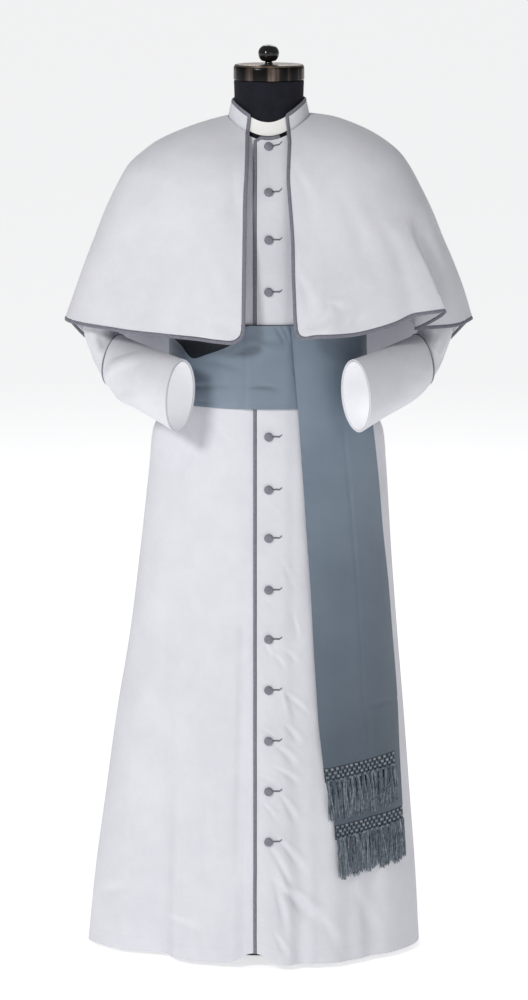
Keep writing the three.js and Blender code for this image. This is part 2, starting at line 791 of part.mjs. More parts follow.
function buildCollar() {
  return wallMesh("collar", collarGrid(0), collarGrid(-WALL), false, whiteCloth());
}

function buildCollarPiping() {
  const edges = [collarGrid(0), collarGrid(-WALL)].map((grid) => {
    const right = grid.map((row) => row[0]);
    const top = grid.at(-1).slice(1, -1);
    const left = grid.map((row) => row.at(-1)).reverse();
    return [...right, ...top, ...left];
  });
  const path = edgePath(edges[0], edges[1], -1);
  return ringsMesh("piping_collar", stripRings(path, bindingProfile(PIPING_GAP)), greyPiping());
}

function buildCollarTab() {
  const angles = Array.from({ length: 13 }, (unused, index) => -TAB_END_ANGLE + (index / 12) * 2 * TAB_END_ANGLE);
  const grid = (distance) => [0, 0.5, 1].map((share) => angles.map((angle) => {
    const bottom = 0.35;
    const top = 2.15 - 0.15 * Math.cos(THREE.MathUtils.degToRad(angle * 2));
    return offsetCollar(angle, bottom + (top - bottom) * share, distance);
  }));
  return wallMesh("collar_tab", grid(-TAB_INSET), grid(-TAB_INSET - 1.1), false, whiteCloth());
}

// Sash

function bandClearance(degrees, position) {
  const x = bodyPoint(degrees, position).x;
  const overPlacket = smoothStep(x, -46, -32) * (1 - smoothStep(x, PLACKET_LIFT_FULL_X + 4, PLACKET_LIFT_END_X));
  return BAND_GAP + overPlacket * (PIPING_THICKNESS * 0.5 + PLACKET_LIFT - WALL * 0.5);
}

function buildBand() {
  const heights = [BAND_TOP_Z, 1083, 1045, 990, BAND_BOTTOM_Z];
  const angles = [];
  for (let angle = -28; angle <= 32; angle += 6) angles.push(angle);
  for (let angle = 40; angle < 110; angle += 8) angles.push(angle);
  for (let angle = 112; angle < 330; angle += 10) angles.push(angle);
  const grid = (distance) => heights.map((height) => angles.map((angle) => {
    const position = positionOf(BODY_SECTIONS.frontZ, height);
    return offsetPoint(bodyPoint, angle, position, bandClearance(angle, position) + distance);
  }));
  return wallMesh("sash_band", grid(BAND_WALL), grid(0), true, slateSatin());
}

// A place over the front of the body, by the share of the tail's width and the height
function tailPoint(share, z, gap, distance, shift = 0) {
  const position = positionOf(BODY_SECTIONS.frontZ, z);
  const edges = readTable(TAIL_EDGES, positionOf(TAIL_EDGES.z, z));
  const surface = (u, v) => offsetPoint(bodyPoint, u, v, gap);
  const leftAngle = angleAtX(surface, edges.leftX + shift, position);
  const rightAngle = angleAtX(surface, edges.rightX + shift, position);
  const angle = leftAngle + (rightAngle - leftAngle) * share;
  const overBand = smoothStep(z, BAND_BOTTOM_Z - 50, BAND_BOTTOM_Z - 10);
  const extra = (bandClearance(angle, position) - BAND_GAP) * overBand;
  return offsetPoint(bodyPoint, angle, position, gap + distance + extra);
}

// A soft crease runs down each tail
function tailCrease(share) {
  return 2.2 * Math.exp(-Math.pow((share - 0.58) / 0.09, 2));
}

const TAIL_HEIGHTS = [
  1119, 1083, 1045, 990, 975, 955, 937, 919, 884, 849, 778, 707, 636, 564, 493, 421, 385, 349, 300, 277,
];

function buildTail(name, bottom, gap, shift, crease) {
  const shares = [0, 0.22, 0.44, 0.58, 0.72, 0.86, 1];
  const heights = TAIL_HEIGHTS.filter((z) => z > bottom.right + 15);
  const grid = (distance) => [...heights, "end"].map((height) => shares.map((share) => {
    const end = bottom.left + (bottom.right - bottom.left) * share;
    const z = height === "end" ? end : height;
    const sway = smoothStep(-z, -900, -400);
    return tailPoint(share, z, gap, distance + crease * tailCrease(share) * sway, shift * sway);
  }));
  return wallMesh(name, grid(TAIL_WALL), grid(0), false, slateSatin());
}

// A fringe: a heading strip with its locks fused into it
function buildFringe(name, bottom, length, gap, shift) {
  const solids = [];
  const columns = Array.from({ length: 10 }, (unused, index) => index / 9);
  const headingTop = (share) => bottom.left + (bottom.right - bottom.left) * share - SEAM_GAP;
  const heading = (distance) => [0, 1].map((row) => columns.map((share) => {
    return tailPoint(share, headingTop(share) - FRINGE_HEADING * row, gap, distance, shift);
  }));
  const strip = wallMesh("strip", heading(FRINGE_HEADING_WALL), heading(0), false, slateFringe());
  solids.push(solidOf(strip));
  for (let index = 0; index < FRINGE_LOCKS; index += 1) {
    const share = (index + 0.5) / FRINGE_LOCKS;
    const sway = 0.016 * Math.sin(index * 2.3);
    const reach = length * (1 - 0.05 * (0.5 + 0.5 * Math.sin(index * 1.7)));
    const rings = [0.2, 0.45, 0.75, 1].map((step, ring) => {
      const z = headingTop(share) - reach * step;
      const swing = FRINGE_HEADING_WALL / 2 + 1.2 * step;
      const centre = tailPoint(share + sway * step, z, gap, swing, shift);
      const front = tailPoint(share + sway * step, z, gap, swing + 1, shift);
      return lockRing(centre, front.sub(centre), [2.3, 2.9, 2.6, 1.1][ring]);
    });
    const lock = ringsMesh("lock", rings, slateFringe());
    solids.push(solidOf(lock));
  }
  const whole = wasm.Manifold.union(solids).getMesh();
  return meshOf(name, whole, slateFringe());
}

function lockRing(centre, front, radius) {
  const outward = front.setZ(0).normalize();
  const across = new THREE.Vector3(-outward.y, outward.x, 0);
  return [0, 1, 2, 3].map((corner) => {
    const turn = (corner / 4) * Math.PI * 2;
    return centre.clone()
      .addScaledVector(across, radius * Math.cos(turn))
      .addScaledVector(outward, radius * 0.5 * Math.sin(turn));
  });
}

function solidOf(mesh) {
  return new wasm.Manifold(new wasm.Mesh({
    numProp: 3,
    vertProperties: new Float32Array(mesh.geometry.attributes.position.array),
    triVerts: new Uint32Array(mesh.geometry.index.array),
  }));
}

function meshOf(name, solidMesh, material) {
  const vertices = [];
  for (let i = 0; i < solidMesh.vertProperties.length; i += solidMesh.numProp) {
    vertices.push(new THREE.Vector3().fromArray(solidMesh.vertProperties, i));
  }
  return finishMesh(name, vertices, [...solidMesh.triVerts], material);
}

// Buttons: low domes seated on the placket

function buildButton(number, height) {
  const position = positionOf(BODY_SECTIONS.frontZ, height);
  const angle = angleAtX(bodyPoint, BUTTON_X, position);
  const seat = liftedBody(angle, position, BUTTON_GAP);
  const top = liftedBody(angle, position, 10);
  const outward = top.sub(seat).normalize();
  const profile = [[0.88, 0], [1, 0.32], [0.84, 0.76], [0.4, 1]];
  const rings = profile.map(([share, rise]) => Array.from({ length: BUTTON_SIDES }, (unused, index) => {
    const turn = (index / BUTTON_SIDES) * Math.PI * 2;
    return new THREE.Vector3(Math.cos(turn), Math.sin(turn), 0)
      .multiplyScalar(BUTTON_RADIUS * share)
      .setZ(BUTTON_RISE * rise);
  }));
  const mesh = ringsMesh("button_" + String(number).padStart(2, "0"), rings, greyPiping());
  mesh.quaternion.setFromUnitVectors(new THREE.Vector3(0, 0, 1), outward);
  mesh.position.copy(seat);
  return mesh;
}

// Dress form

function circle(radius, z, count) {
  return Array.from({ length: count }, (unused, index) => {
    const turn = (index / count) * Math.PI * 2;
    return new THREE.Vector3(radius * Math.cos(turn), radius * Math.sin(turn), z);
  });
}

function ovalSection(sideX, frontY, backY, z) {
  return {
    leftX: sideX - 1, leftZ: z, rightX: sideX + 2, rightZ: z,
    frontY, frontZ: z, backY, backZ: z, leftPower: 2, rightPower: 2,
  };
}

function buildTorso() {
  const angles = Array.from({ length: FORM_SIDES }, (unused, index) => (index / FORM_SIDES) * 360);
  const neck = [[60, 51, 50, NECK_TOP_Z], [59, 50, 49, 1500], [60, 51, 49, 1482]].map(([x, front, back, z]) => {
    return angles.map((angle) => pointOnSection(ovalSection(x, front, back, z), angle));
  });
  const neckBase = angles.map((angle) => offsetCollar(angle, 0, -WALL - 5));
  const shoulders = [0.8, 1.1, 1.4, 1.85, 2.4, 3].map((position) => angles.map((angle) => {
    return offsetPoint(bodyPoint, angle, position, -WALL - REST_GAP);
  }));
  const trunk = [0, 1, 2, 3, 4, 5, 6].map((position) => angles.map((angle) => {
    return pointOnSection(readTable(TORSO_SECTIONS, position), angle);
  }));
  return ringsMesh("form_torso", [...neck, neckBase, ...shoulders, ...trunk], darkCloth());
}

function buildNeckCap() {
  const angles = Array.from({ length: FORM_SIDES }, (unused, index) => (index / FORM_SIDES) * 360);
  const levels = [
    [59, 50, 49, NECK_TOP_Z], [60.5, 51.5, 50.5, NECK_TOP_Z + 2], [60.5, 51.5, 50.5, CAP_TOP_Z - 5],
    [59, 50, 49, CAP_TOP_Z - 2], [55, 46, 45, CAP_TOP_Z],
  ];
  const rings = levels.map(([x, front, back, z]) => angles.map((angle) => {
    return pointOnSection(ovalSection(x, front, back, z), angle);
  }));
  return ringsMesh("form_neck_cap", rings, darkMetal());
}

function buildKnob() {
  const profile = [[7, 0], [6, 4], [12, 6], [17, 13], [18, 19], [16, 26], [11, 31], [4, 33.5]];
  const rings = profile.map(([radius, rise]) => {
    return circle(radius, CAP_TOP_Z + rise, 16).map((point) => point.setX(point.x + 1));
  });
  return ringsMesh("form_knob", rings, blackGloss());
}

function buildPole() {
  return ringsMesh("form_pole", [circle(POLE_RADIUS, BASE_THICKNESS, 16), circle(POLE_RADIUS, TORSO_BOTTOM_Z, 16)], darkMetal());
}

function buildBase() {
  const levels = [[0, 0], [0, BASE_THICKNESS - 4], [6, BASE_THICKNESS]];
  const rings = levels.map(([inset, z]) => Array.from({ length: 36 }, (unused, index) => {
    const half = BASE_HALF_WIDTH - inset;
    return pointOnSection({
      leftX: half, leftZ: z, rightX: half, rightZ: z, frontY: BASE_FRONT - inset, frontZ: z,
      backY: BASE_BACK - inset, backZ: z, leftPower: 2, rightPower: 2,
    }, index * 10);
  }));
  return ringsMesh("form_base", rings, blackPaint());
}

const cassock = new THREE.Group();
cassock.name = "cassock";
cassock.add(buildBase(), buildPole(), buildTorso(), buildNeckCap(), buildKnob());
cassock.add(buildBack(), buildUnderFront(), buildButtonFront(), buildPlacketPiping());
cassock.add(buildSleeve("sleeve_left", -1), buildSleeve("sleeve_right", 1));
cassock.add(buildCuff("cuff_left", -1), buildCuff("cuff_right", 1));
cassock.add(buildCuffPiping("piping_cuff_left", -1), buildCuffPiping("piping_cuff_right", 1));
cassock.add(buildCollar(), buildCollarPiping(), buildCollarTab());
cassock.add(buildCape(), buildCapePiping());
cassock.add(buildBand());
cassock.add(buildTail("sash_tail_rear", REAR_TAIL_BOTTOM, REAR_TAIL_GAP, REAR_TAIL_SHIFT, 0));
cassock.add(buildTail("sash_tail_front", FRONT_TAIL_BOTTOM, FRONT_TAIL_GAP, 0, 1));
cassock.add(buildFringe("fringe_rear", REAR_TAIL_BOTTOM, REAR_FRINGE_LENGTH, REAR_TAIL_GAP, REAR_TAIL_SHIFT));
cassock.add(buildFringe("fringe_front", FRONT_TAIL_BOTTOM, FRONT_FRINGE_LENGTH, FRONT_TAIL_GAP, 0));
BUTTON_HEIGHTS.forEach((height, index) => cassock.add(buildButton(index + 1, height)));

export default cassock;
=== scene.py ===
"""A white cassock with a shoulder cape and a fringed sash, on a limbless dress form.

Sizes are in millimetres, as is every table; meshes are made in metres.
Angles round the garment are in degrees: 0 is the front, 90 the right and 180 the back.
"""

import json
import math

import bpy
import numpy as np
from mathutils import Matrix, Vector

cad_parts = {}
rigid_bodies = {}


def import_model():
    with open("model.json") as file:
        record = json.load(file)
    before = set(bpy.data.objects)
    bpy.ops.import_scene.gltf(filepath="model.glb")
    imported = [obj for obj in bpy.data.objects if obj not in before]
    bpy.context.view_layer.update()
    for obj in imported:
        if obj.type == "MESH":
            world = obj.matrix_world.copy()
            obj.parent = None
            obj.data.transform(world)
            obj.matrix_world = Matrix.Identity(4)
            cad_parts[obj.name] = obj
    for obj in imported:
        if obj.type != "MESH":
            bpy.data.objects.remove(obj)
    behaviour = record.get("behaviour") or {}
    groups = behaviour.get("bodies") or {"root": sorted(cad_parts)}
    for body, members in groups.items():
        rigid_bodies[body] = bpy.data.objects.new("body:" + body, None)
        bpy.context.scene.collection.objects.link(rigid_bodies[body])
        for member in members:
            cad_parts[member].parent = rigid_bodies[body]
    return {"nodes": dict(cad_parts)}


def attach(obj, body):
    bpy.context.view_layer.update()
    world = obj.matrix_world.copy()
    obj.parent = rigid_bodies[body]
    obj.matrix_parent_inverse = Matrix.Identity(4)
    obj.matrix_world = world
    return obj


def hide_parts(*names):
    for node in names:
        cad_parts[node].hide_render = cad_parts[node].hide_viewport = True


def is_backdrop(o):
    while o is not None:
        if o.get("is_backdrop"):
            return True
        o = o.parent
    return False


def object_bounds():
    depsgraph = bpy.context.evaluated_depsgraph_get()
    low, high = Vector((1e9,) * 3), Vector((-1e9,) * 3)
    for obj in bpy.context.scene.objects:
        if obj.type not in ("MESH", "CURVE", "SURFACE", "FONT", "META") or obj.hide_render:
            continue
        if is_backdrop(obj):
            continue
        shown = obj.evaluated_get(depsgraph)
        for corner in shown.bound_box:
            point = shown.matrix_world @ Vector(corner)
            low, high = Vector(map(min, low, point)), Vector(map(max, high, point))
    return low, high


MM = 0.001

# Cloth and gap sizes
WALL = 1.6
SEAM_GAP = 0.3
PLACKET_LIFT = 2.6
PIPING_WIDTH = 6
PIPING_THICKNESS = 2.8
PIPING_GAP = 0.4
CAPE_PIPING_GAP = 0.8

# Where the front edges run
PLACKET_EDGE_X = -19
UNDERLAP_X = 14
PLACKET_LIFT_FULL_X = 24
PLACKET_LIFT_END_X = 46
PLACKET_CORNER = 8
PLACKET_CORNER_ROWS = 0.8
HEM_Z = 10
HEM_NOTCH = {"x": -22, "width": 30, "lift": 22}
HEM_STITCH_RISE = 24

# Armholes, sleeves and cuffs
ARMHOLE_TOP = 3
ARMHOLE_BOTTOM = 5
ARMHOLE_HALF_ANGLE = 22
CUFF_START = 8
SLEEVE_END = 11
CUFF_GAP = 1.3
CUFF_WALL = 1.8
CUFF_PIPING_GAP = 1.0

# Sash
BAND_TOP_Z = 1120
BAND_BOTTOM_Z = 975
BAND_GAP = 1.4
BAND_WALL = 1.5
BAND_MIDDLE_ROW = 7.2
INNER_TURN_HEIGHT = 90
REAR_TAIL_GAP = 4.5
FRONT_TAIL_GAP = 7.7
TAIL_WALL = 1.5
TAIL_TOP_Z = 1119
TAIL_WIDTH = 125

# Fringes: the locks across a tail's end, the knots above them and the strands in each
FRINGE_LOCKS = 15
HEADING_DEPTH = 25
KNOT_ROWS = 4
KNOT_START = 3.2
KNOT_ROW_STEP = 6.6
TUFT_START = 22
LOCK_STRANDS = 24

# Buttons: the height of each above the floor
BUTTON_HEIGHTS = [1419, 1344, 1265, 1176, 928, 838, 755, 666, 581, 493, 405, 317, 229]
BUTTON_X = 1
BUTTON_RADIUS = 7.8
BUTTON_RISE = 4.4
BUTTON_GAP = 0.64
BUTTONHOLE_END = 22.1
BUTTONHOLE_STITCHES = 22

# A button's dome: shares of its radius and of its rise
BUTTON_PROFILE = [
    (0.8, 0.0), (0.93, 0.08), (1.0, 0.28), (0.985, 0.46), (0.92, 0.66), (0.8, 0.82),
    (0.6, 0.93), (0.34, 0.99), (0.12, 1.0),
]

# Dress form
NECK_TOP_Z = 1529
CAP_TOP_Z = 1556
KNOB_X = 1
FORM_SIDES = 96
NECK_INSET = 5.0
REST_GAP = 3.0
SHOULDER_ROWS = (0.8, 1.1, 1.4, 1.85, 2.4, 3.0)

# Ovals round the form: half-width, front and back depth, height
NECK_OVALS = [
    (56, 47, 46, NECK_TOP_Z - 0.5), (59.4, 50.4, 49.4, NECK_TOP_Z - 1), (60, 51, 50, NECK_TOP_Z - 3),
    (59.6, 50.6, 49.6, 1520), (59, 50, 49, 1500), (59.2, 50.2, 49, 1490), (60, 51, 49, 1482),
]
CAP_BAND_OVALS = [
    (59, 50, 49, 1529.2), (60.2, 51.2, 50.2, 1530), (60.6, 51.6, 50.6, 1532),
    (60.5, 51.5, 50.5, 1540), (60.5, 51.5, 50.5, 1549), (60.2, 51.2, 50.2, 1551.5),
    (59.4, 50.4, 49.4, 1553),
]
CAP_TOP_OVALS = [
    (58.6, 49.6, 48.6, 1553.0), (58.8, 49.8, 48.8, 1554.2), (58, 49, 48, 1555.4), (55, 46, 45, 1556),
]

# The heights, in metres, between which painted shade darkens the sash's satin towards the bottom
SATIN_PALE_Z = 0.95
SATIN_DARK_Z = 0.34

# The pale floor, in metres
FLOOR_HALF_WIDTH = 60.0
FLOOR_FRONT_Y = -25.0
FLOOR_BACK_Y = 60.0
FLOOR_Z = -0.0005

# The camera stands in front, a little above the garment, and looks down on it
CAMERA_PLACE = (-0.007, -8.0, 2.12)
CAMERA_TILT = 9.4
CAMERA_LENS = 167.04

SECTION_COLUMNS = (
    "leftX", "leftZ", "rightX", "rightZ", "frontY", "frontZ", "backY", "backZ",
    "leftPower", "rightPower",
)


def smooth_slopes(values):
    steps = np.diff(values)
    slopes = np.zeros(len(values))
    slopes[0], slopes[-1] = steps[0], steps[-1]
    for i in range(1, len(values) - 1):
        before, after = steps[i - 1], steps[i]
        slopes[i] = 0 if before * after <= 0 else 2 * before * after / (before + after)
    return slopes


class Table:
    """Named columns, read between their rows along a smooth line."""

    def __init__(self, columns, rows):
        values = np.array(rows, float)
        self.last = len(rows) - 1
        self.columns = {
            name: (values[:, i], smooth_slopes(values[:, i])) for i, name in enumerate(columns)
        }

    def read(self, name, position):
        values, slopes = self.columns[name]
        start = np.clip(np.floor(position), 0, self.last - 1).astype(int)
        t = position - start
        a, b = values[start], values[start + 1]
        rise_a, rise_b = slopes[start], slopes[start + 1]
        square, cube = t**2, t**3
        inside = a * (2 * cube - 3 * square + 1) + b * (3 * square - 2 * cube)
        inside = inside + rise_a * (cube - 2 * square + t) + rise_b * (cube - square)
        return np.where(t < 0, a + rise_a * t, np.where(t > 1, b + rise_b * (t - 1), inside))

    def position_of(self, name, value):
        """The row position at which a falling or rising column reaches a value."""
        values = self.columns[name][0]
        rising = values[-1] > values[0]
        value = np.asarray(value, float)
        low, high = np.zeros(value.shape), np.full(value.shape, float(self.last))
        for _ in range(34):
            middle = (low + high) / 2
            short = (self.read(name, middle) < value) == rising
            low, high = np.where(short, middle, low), np.where(short, high, middle)
        return (low + high) / 2


BODY_SECTIONS = Table(SECTION_COLUMNS, [
    (69, 1462, 72, 1465, 66, 1430, 60, 1470, 2, 2),
    (80, 1460.5, 83, 1463.5, 70, 1419, 68, 1464, 2, 2),
    (125, 1446, 128, 1454.5, 84, 1394, 95, 1445, 2, 2),
    (172, 1423, 174, 1432, 100, 1362, 109, 1412, 2.1, 2.1),
    (173, 1345, 174, 1350, 115, 1322, 116, 1342, 2.1, 2.1),
    (167, 1262, 167, 1262, 121, 1262, 117, 1262, 2, 2),
    (167, 1190, 167, 1190, 124, 1190, 112, 1190, 2, 2),
    (168, 1120, 168, 1120, 127, 1120, 110, 1120, 2, 2),
    (169, 1045, 169, 1045, 129, 1045, 112, 1045, 2, 2),
    (172, 990, 172, 990, 133, 990, 118, 990, 2, 2),
    (185, 955, 185, 955, 137, 955, 127, 955, 2, 2),
    (201, 919, 201, 919, 142, 919, 136, 919, 2, 2),
    (208, 849, 207, 849, 149, 849, 146, 849, 2, 2),
    (224, 707, 216, 707, 160, 707, 165, 707, 1.9, 2),
    (242, 564, 227, 564, 171, 564, 182, 564, 1.75, 1.9),
    (266, 421, 239, 421, 181, 421, 198, 421, 1.6, 1.8),
    (286, 277, 250, 277, 189, 277, 212, 277, 1.5, 1.75),
    (306, 131, 261, 131, 196, 131, 226, 131, 1.42, 1.7),
    (319, 6, 268, 8, 200, 10, 236, 10, 1.38, 1.7),
])
HEM_ROW = 18

# Long folds: the angle of each, its half-width, its depth at the hem, the height where it ends
SKIRT_FOLDS = [
    (-62, 14, -27, 760), (-40, 9, 5, 500), (-13, 6, -7, 880), (17, 7, -8, 420),
    (34, 10, 6, 700), (56, 9, -7, 620), (112, 9, 9, 880), (128, 8, -12, 900),
    (146, 10, 15, 940), (163, 7, -11, 860), (180, 9, 14, 950), (197, 7, -10, 820),
    (214, 10, 16, 930), (232, 8, -13, 880), (250, 9, 10, 800),
]

CAPE_SECTIONS = Table((*SECTION_COLUMNS, "leftEdgeX", "rightEdgeX"), [
    (69.9, 1467, 72.9, 1470, 70.5, 1436, 61.2, 1475, 2, 2, -38.5, 38.5),
    (100, 1460, 107, 1467, 84, 1418, 84, 1465, 2, 2, -39, 40),
    (140, 1447, 165, 1447, 104, 1396, 116, 1446, 2, 2, -39.5, 39),
    (190, 1425, 203, 1425, 121, 1368, 138, 1416, 2, 2, -40.5, 38),
    (219, 1404, 228, 1404, 131, 1342, 150, 1386, 2, 2, -42, 39.5),
    (240, 1384, 243, 1384, 138, 1316, 157, 1356, 2, 2, -43, 41.5),
    (264, 1342, 266, 1342, 148, 1278, 165, 1312, 2, 2, -43.5, 44.5),
    (283, 1301, 286, 1301, 157, 1243, 171, 1267, 2, 2, -44, 46),
    (300, 1259, 303, 1259, 165, 1206, 176, 1224, 2, 2, -44.5, 46.5),
    (317, 1217, 321, 1217, 173, 1169, 180, 1181, 2, 2, -45, 48),
    (333, 1172, 338, 1172, 180, 1133, 184, 1140, 2, 2, -45.5, 49.5),
    (351, 1120, 354, 1120, 186, 1097, 188, 1098, 2, 2, -46, 52),
])
CAPE_HEM_ROW = 11
CAPE_CORNER = {1: 18, -1: 22}
CAPE_CORNER_ROW = 10
CAPE_HEM_Z = 1097
CAPE_FRONT_ANGLE = 60
CAPE_THROWN_ANGLE = 92
CAPE_FRONT_WIDTH = 155
CAPE_ROW_HEIGHT = 40
CAPE_BACK_DROP = {"depth": 95, "topRow": 7}
CAPE_FOLDS = [
    (-58, 12, 7, 1330), (-36, 10, -6, 1300), (30, 9, 5, 1260), (118, 11, -7, 1320),
    (142, 11, 9, 1350), (163, 9, -6, 1300), (186, 11, 9, 1360), (208, 10, -7, 1310),
    (230, 11, 9, 1340), (250, 9, -5, 1290),
]
CAPE_THROW_TOP = 6.5
CAPE_THROW = Table(("degrees", "throwX", "throwY", "lift"), [
    (0, 0, 0, 0), (14, 0, 0, 3), (24, 0, 0, 9), (40, 0, 0, 5), (50, 0, 0, 10),
    (56, 0, 0, 16), (61, 0, 2, 25), (65, 14, -1, 29), (68, 21, -1, 30), (70, 8, 6, 22),
    (73.2, -43, 9, -2), (75.4, -62, 7, -8), (78, -58, 3, -8), (83, -22, -10, -6),
    (90, 0, 0, 0),
])

COLLAR_SECTIONS = Table(SECTION_COLUMNS, [
    (69, 1462.6, 72, 1465.6, 66, 1433.5, 60, 1470.6, 2, 2),
    (66, 1480, 69, 1482, 63, 1447, 58.5, 1488, 2, 2),
    (63, 1492, 66, 1494, 60.5, 1461, 57, 1505, 2, 2),
])
COLLAR_END_ANGLE = 35
TAB_END_ANGLE = 40
TAB_INSET = 2.8
TAB_WALL = 1.1
TAB_BOTTOM_ROW = 0.35
TAB_TOP_ROW = 2.15
COLLAR_TOP_ROW = 1.88

SLEEVE_RINGS = Table(
    ("outerX", "outerY", "outerZ", "innerX", "innerY", "innerZ", "frontX", "frontY", "frontZ"),
    [
        (-198, 1, 1396, -182, 1, 1244, -4, -62, 0),
        (-233, 3, 1352, -184, 3, 1226, -2, -62, 0),
        (-265, 6, 1285, -189, 6, 1200, 0, -62, 0),
        (-294, 8, 1205, -206, 8, 1160, 0, -60, 0),
        (-311, 8, 1145, -234, 6, 1122, 0, -58, 0),
        (-320, 4, 1098, -262, 0, 1097, -2, -56, 0),
        (-302, -8, 1052, -263, -24, 1091, -10, -54, -4),
        (-268, -32, 1005, -260, -42, 1088, -17, -50, -4),
        (-229, -80, 979, -226, -88, 1080, -30, -44, 0),
        (-191, -132, 964, -187, -140, 1072, -29, -44, 0),
        (-152, -184, 946, -147, -186, 1065, -22, -46, 0),
    ],
)

TAIL_EDGES = Table(("z", "leftX", "rightX"), [
    (1120, 38, 166), (974, 51, 176), (897, 56.5, 185), (835, 61, 191), (764, 65.5, 196),
    (658, 73, 204), (570, 78, 209), (500, 82, 213), (430, 87, 217), (350, 96, 221),
    (260, 105, 226), (150, 112, 233),
])
FRONT_TAIL = {"left": 354, "right": 366, "gap": FRONT_TAIL_GAP, "shift": 0, "fringe": 101}
REAR_TAIL = {"left": 252, "right": 264, "gap": REAR_TAIL_GAP, "shift": 9, "fringe": 103}

# Creases, as seen from the front: from (x1, z1) to (x2, z2), half-width, depth, bow
FRONT_CREASES = [
    (31, 559, 48, 541, 4, -1.6, 1), (7, 556, 27, 530, 4, -1.5, 2), (27, 488, 65, 453, 4, -2.0, 1),
    (-10, 506, 10, 488, 3, -1.3, 1), (29, 431, 53, 400, 4.5, -2.2, 2),
    (-10, 426, 12, 408, 3.5, -1.5, 1),
    (12, 396, 46, 361, 5, -2.6, 3), (15, 356, 50, 330, 4.5, -2.3, 2), (-10, 342, 16, 326, 3.5, -1.6, 1),
    (21, 309, 46, 262, 5, -2.6, 2), (-7, 294, 12, 268, 4, -1.8, 1), (15, 234, 60, 172, 5.5, -3.0, 3),
    (-2, 225, 35, 155, 5, -2.6, 3), (24, 145, 78, 88, 9, -6.0, 2), (12, 152, 29, 66, 6, -3.4, 2),
    (12, 64, 30, 26, 5, -2.6, 1), (-10, 582, 4, 548, 3.5, -1.2, 1), (43, 620, 50, 580, 4, -1.2, 1),
    (0, 807, 22, 795, 3, -0.8, 1), (-10, 650, 9, 636, 3, -1.0, 1), (-10, 738, 12, 722, 3, -0.8, 1),
    (20, 718, 42, 672, 4, -1.0, 2), (22, 500, 40, 430, 5, 1.4, 1), (18, 180, 40, 110, 6, 2.2, 2),
    (-46, 600, -64, 36, 9, -3.0, 4), (-30, 560, -34, 60, 8, 1.6, 2), (-109, 330, -113, 170, 7, -1.6, 2),
    (-255, 490, -203, 372, 22, -2.6, 8), (-299, 92, -247, 118, 9, -2.4, 4),
    (-178, 74, -118, 62, 8, -1.8, 3), (-134, 650, -152, 440, 16, -1.8, 6),
    (-62, 165, -96, 70, 12, -3.0, 4), (-205, 820, -225, 560, 14, -1.6, 6),
    (228, 700, 246, 420, 8, -1.6, 2), (150, 130, 185, 40, 10, -2.2, 3), (90, 90, 120, 30, 9, -1.8, 3),
    (-30, 1232, -4, 1222, 3, -0.7, 1), (6, 1308, 24, 1296, 3, -0.6, 1), (4, 1152, 24, 1140, 3, -0.8, 1),
    (-120, 930, -160, 860, 9, -1.4, 3), (-100, 952, -60, 900, 8, -1.0, 3),
]

# Creases of the back, as seen from behind with x as the front has it
BACK_CREASES = [
    (-60, 930, -90, 620, 12, -2.4, 5), (48, 920, 66, 560, 11, -2.2, -4),
    (-150, 880, -190, 430, 13, -2.4, 6),
    (140, 870, 176, 420, 13, -2.4, -6), (0, 700, -8, 120, 10, -2.0, 4),
    (-110, 420, -128, 60, 11, -2.6, 3),
    (96, 400, 118, 70, 10, -2.4, 3), (-20, 960, 30, 945, 7, -1.2, 3),
    (-240, 300, -262, 60, 12, -2.4, 3),
    (206, 330, 224, 60, 11, -2.2, 3), (60, 200, 30, 50, 9, -1.8, 3), (-60, 240, -40, 60, 9, -1.8, 3),
]

# Creases of the cape, in degrees round and the height
CAPE_CREASES = [
    (-28, 1380, -22, 1300, 3.2, -1.8, 0.8), (-20, 1330, -17, 1250, 2.6, -1.2, 0.5),
    (-34, 1225, -26, 1160, 3.6, -1.4, 1), (-30, 1128, -18, 1118, 2.6, -1.4, 0.6),
    (17, 1210, 23, 1150, 2.4, -1.6, 0.6), (20, 1120, 33, 1158, 2.6, -4.2, -1.2),
    (33, 1158, 37, 1150, 1.8, -2.6, 0.3), (24, 1112, 36, 1136, 2.8, 2.4, -0.6),
    (40, 1120, 45, 1140, 1.7, -2.2, 0.3), (22, 1390, 30, 1300, 3.4, -1.2, 0.8),
    (46, 1330, 52, 1190, 4.2, -2.0, 1), (58, 1300, 64, 1170, 3.6, -1.8, 0.8),
    (-50, 1330, -54, 1160, 4.6, -2.2, 1), (-68, 1300, -72, 1150, 4.2, -1.8, 1),
    (-84, 1330, -86, 1190, 4.5, -1.6, 1), (108, 1320, 112, 1120, 4.4, -2.2, 1),
    (134, 1360, 131, 1090, 4.6, -2.4, 1), (152, 1340, 156, 1060, 4.2, -2.2, 1),
    (176, 1390, 173, 1060, 4.4, -2.2, 1), (198, 1350, 202, 1060, 4.6, -2.4, 1),
    (220, 1370, 223, 1070, 4.4, -2.2, 1), (244, 1330, 240, 1110, 4.6, -2.0, 1),
]

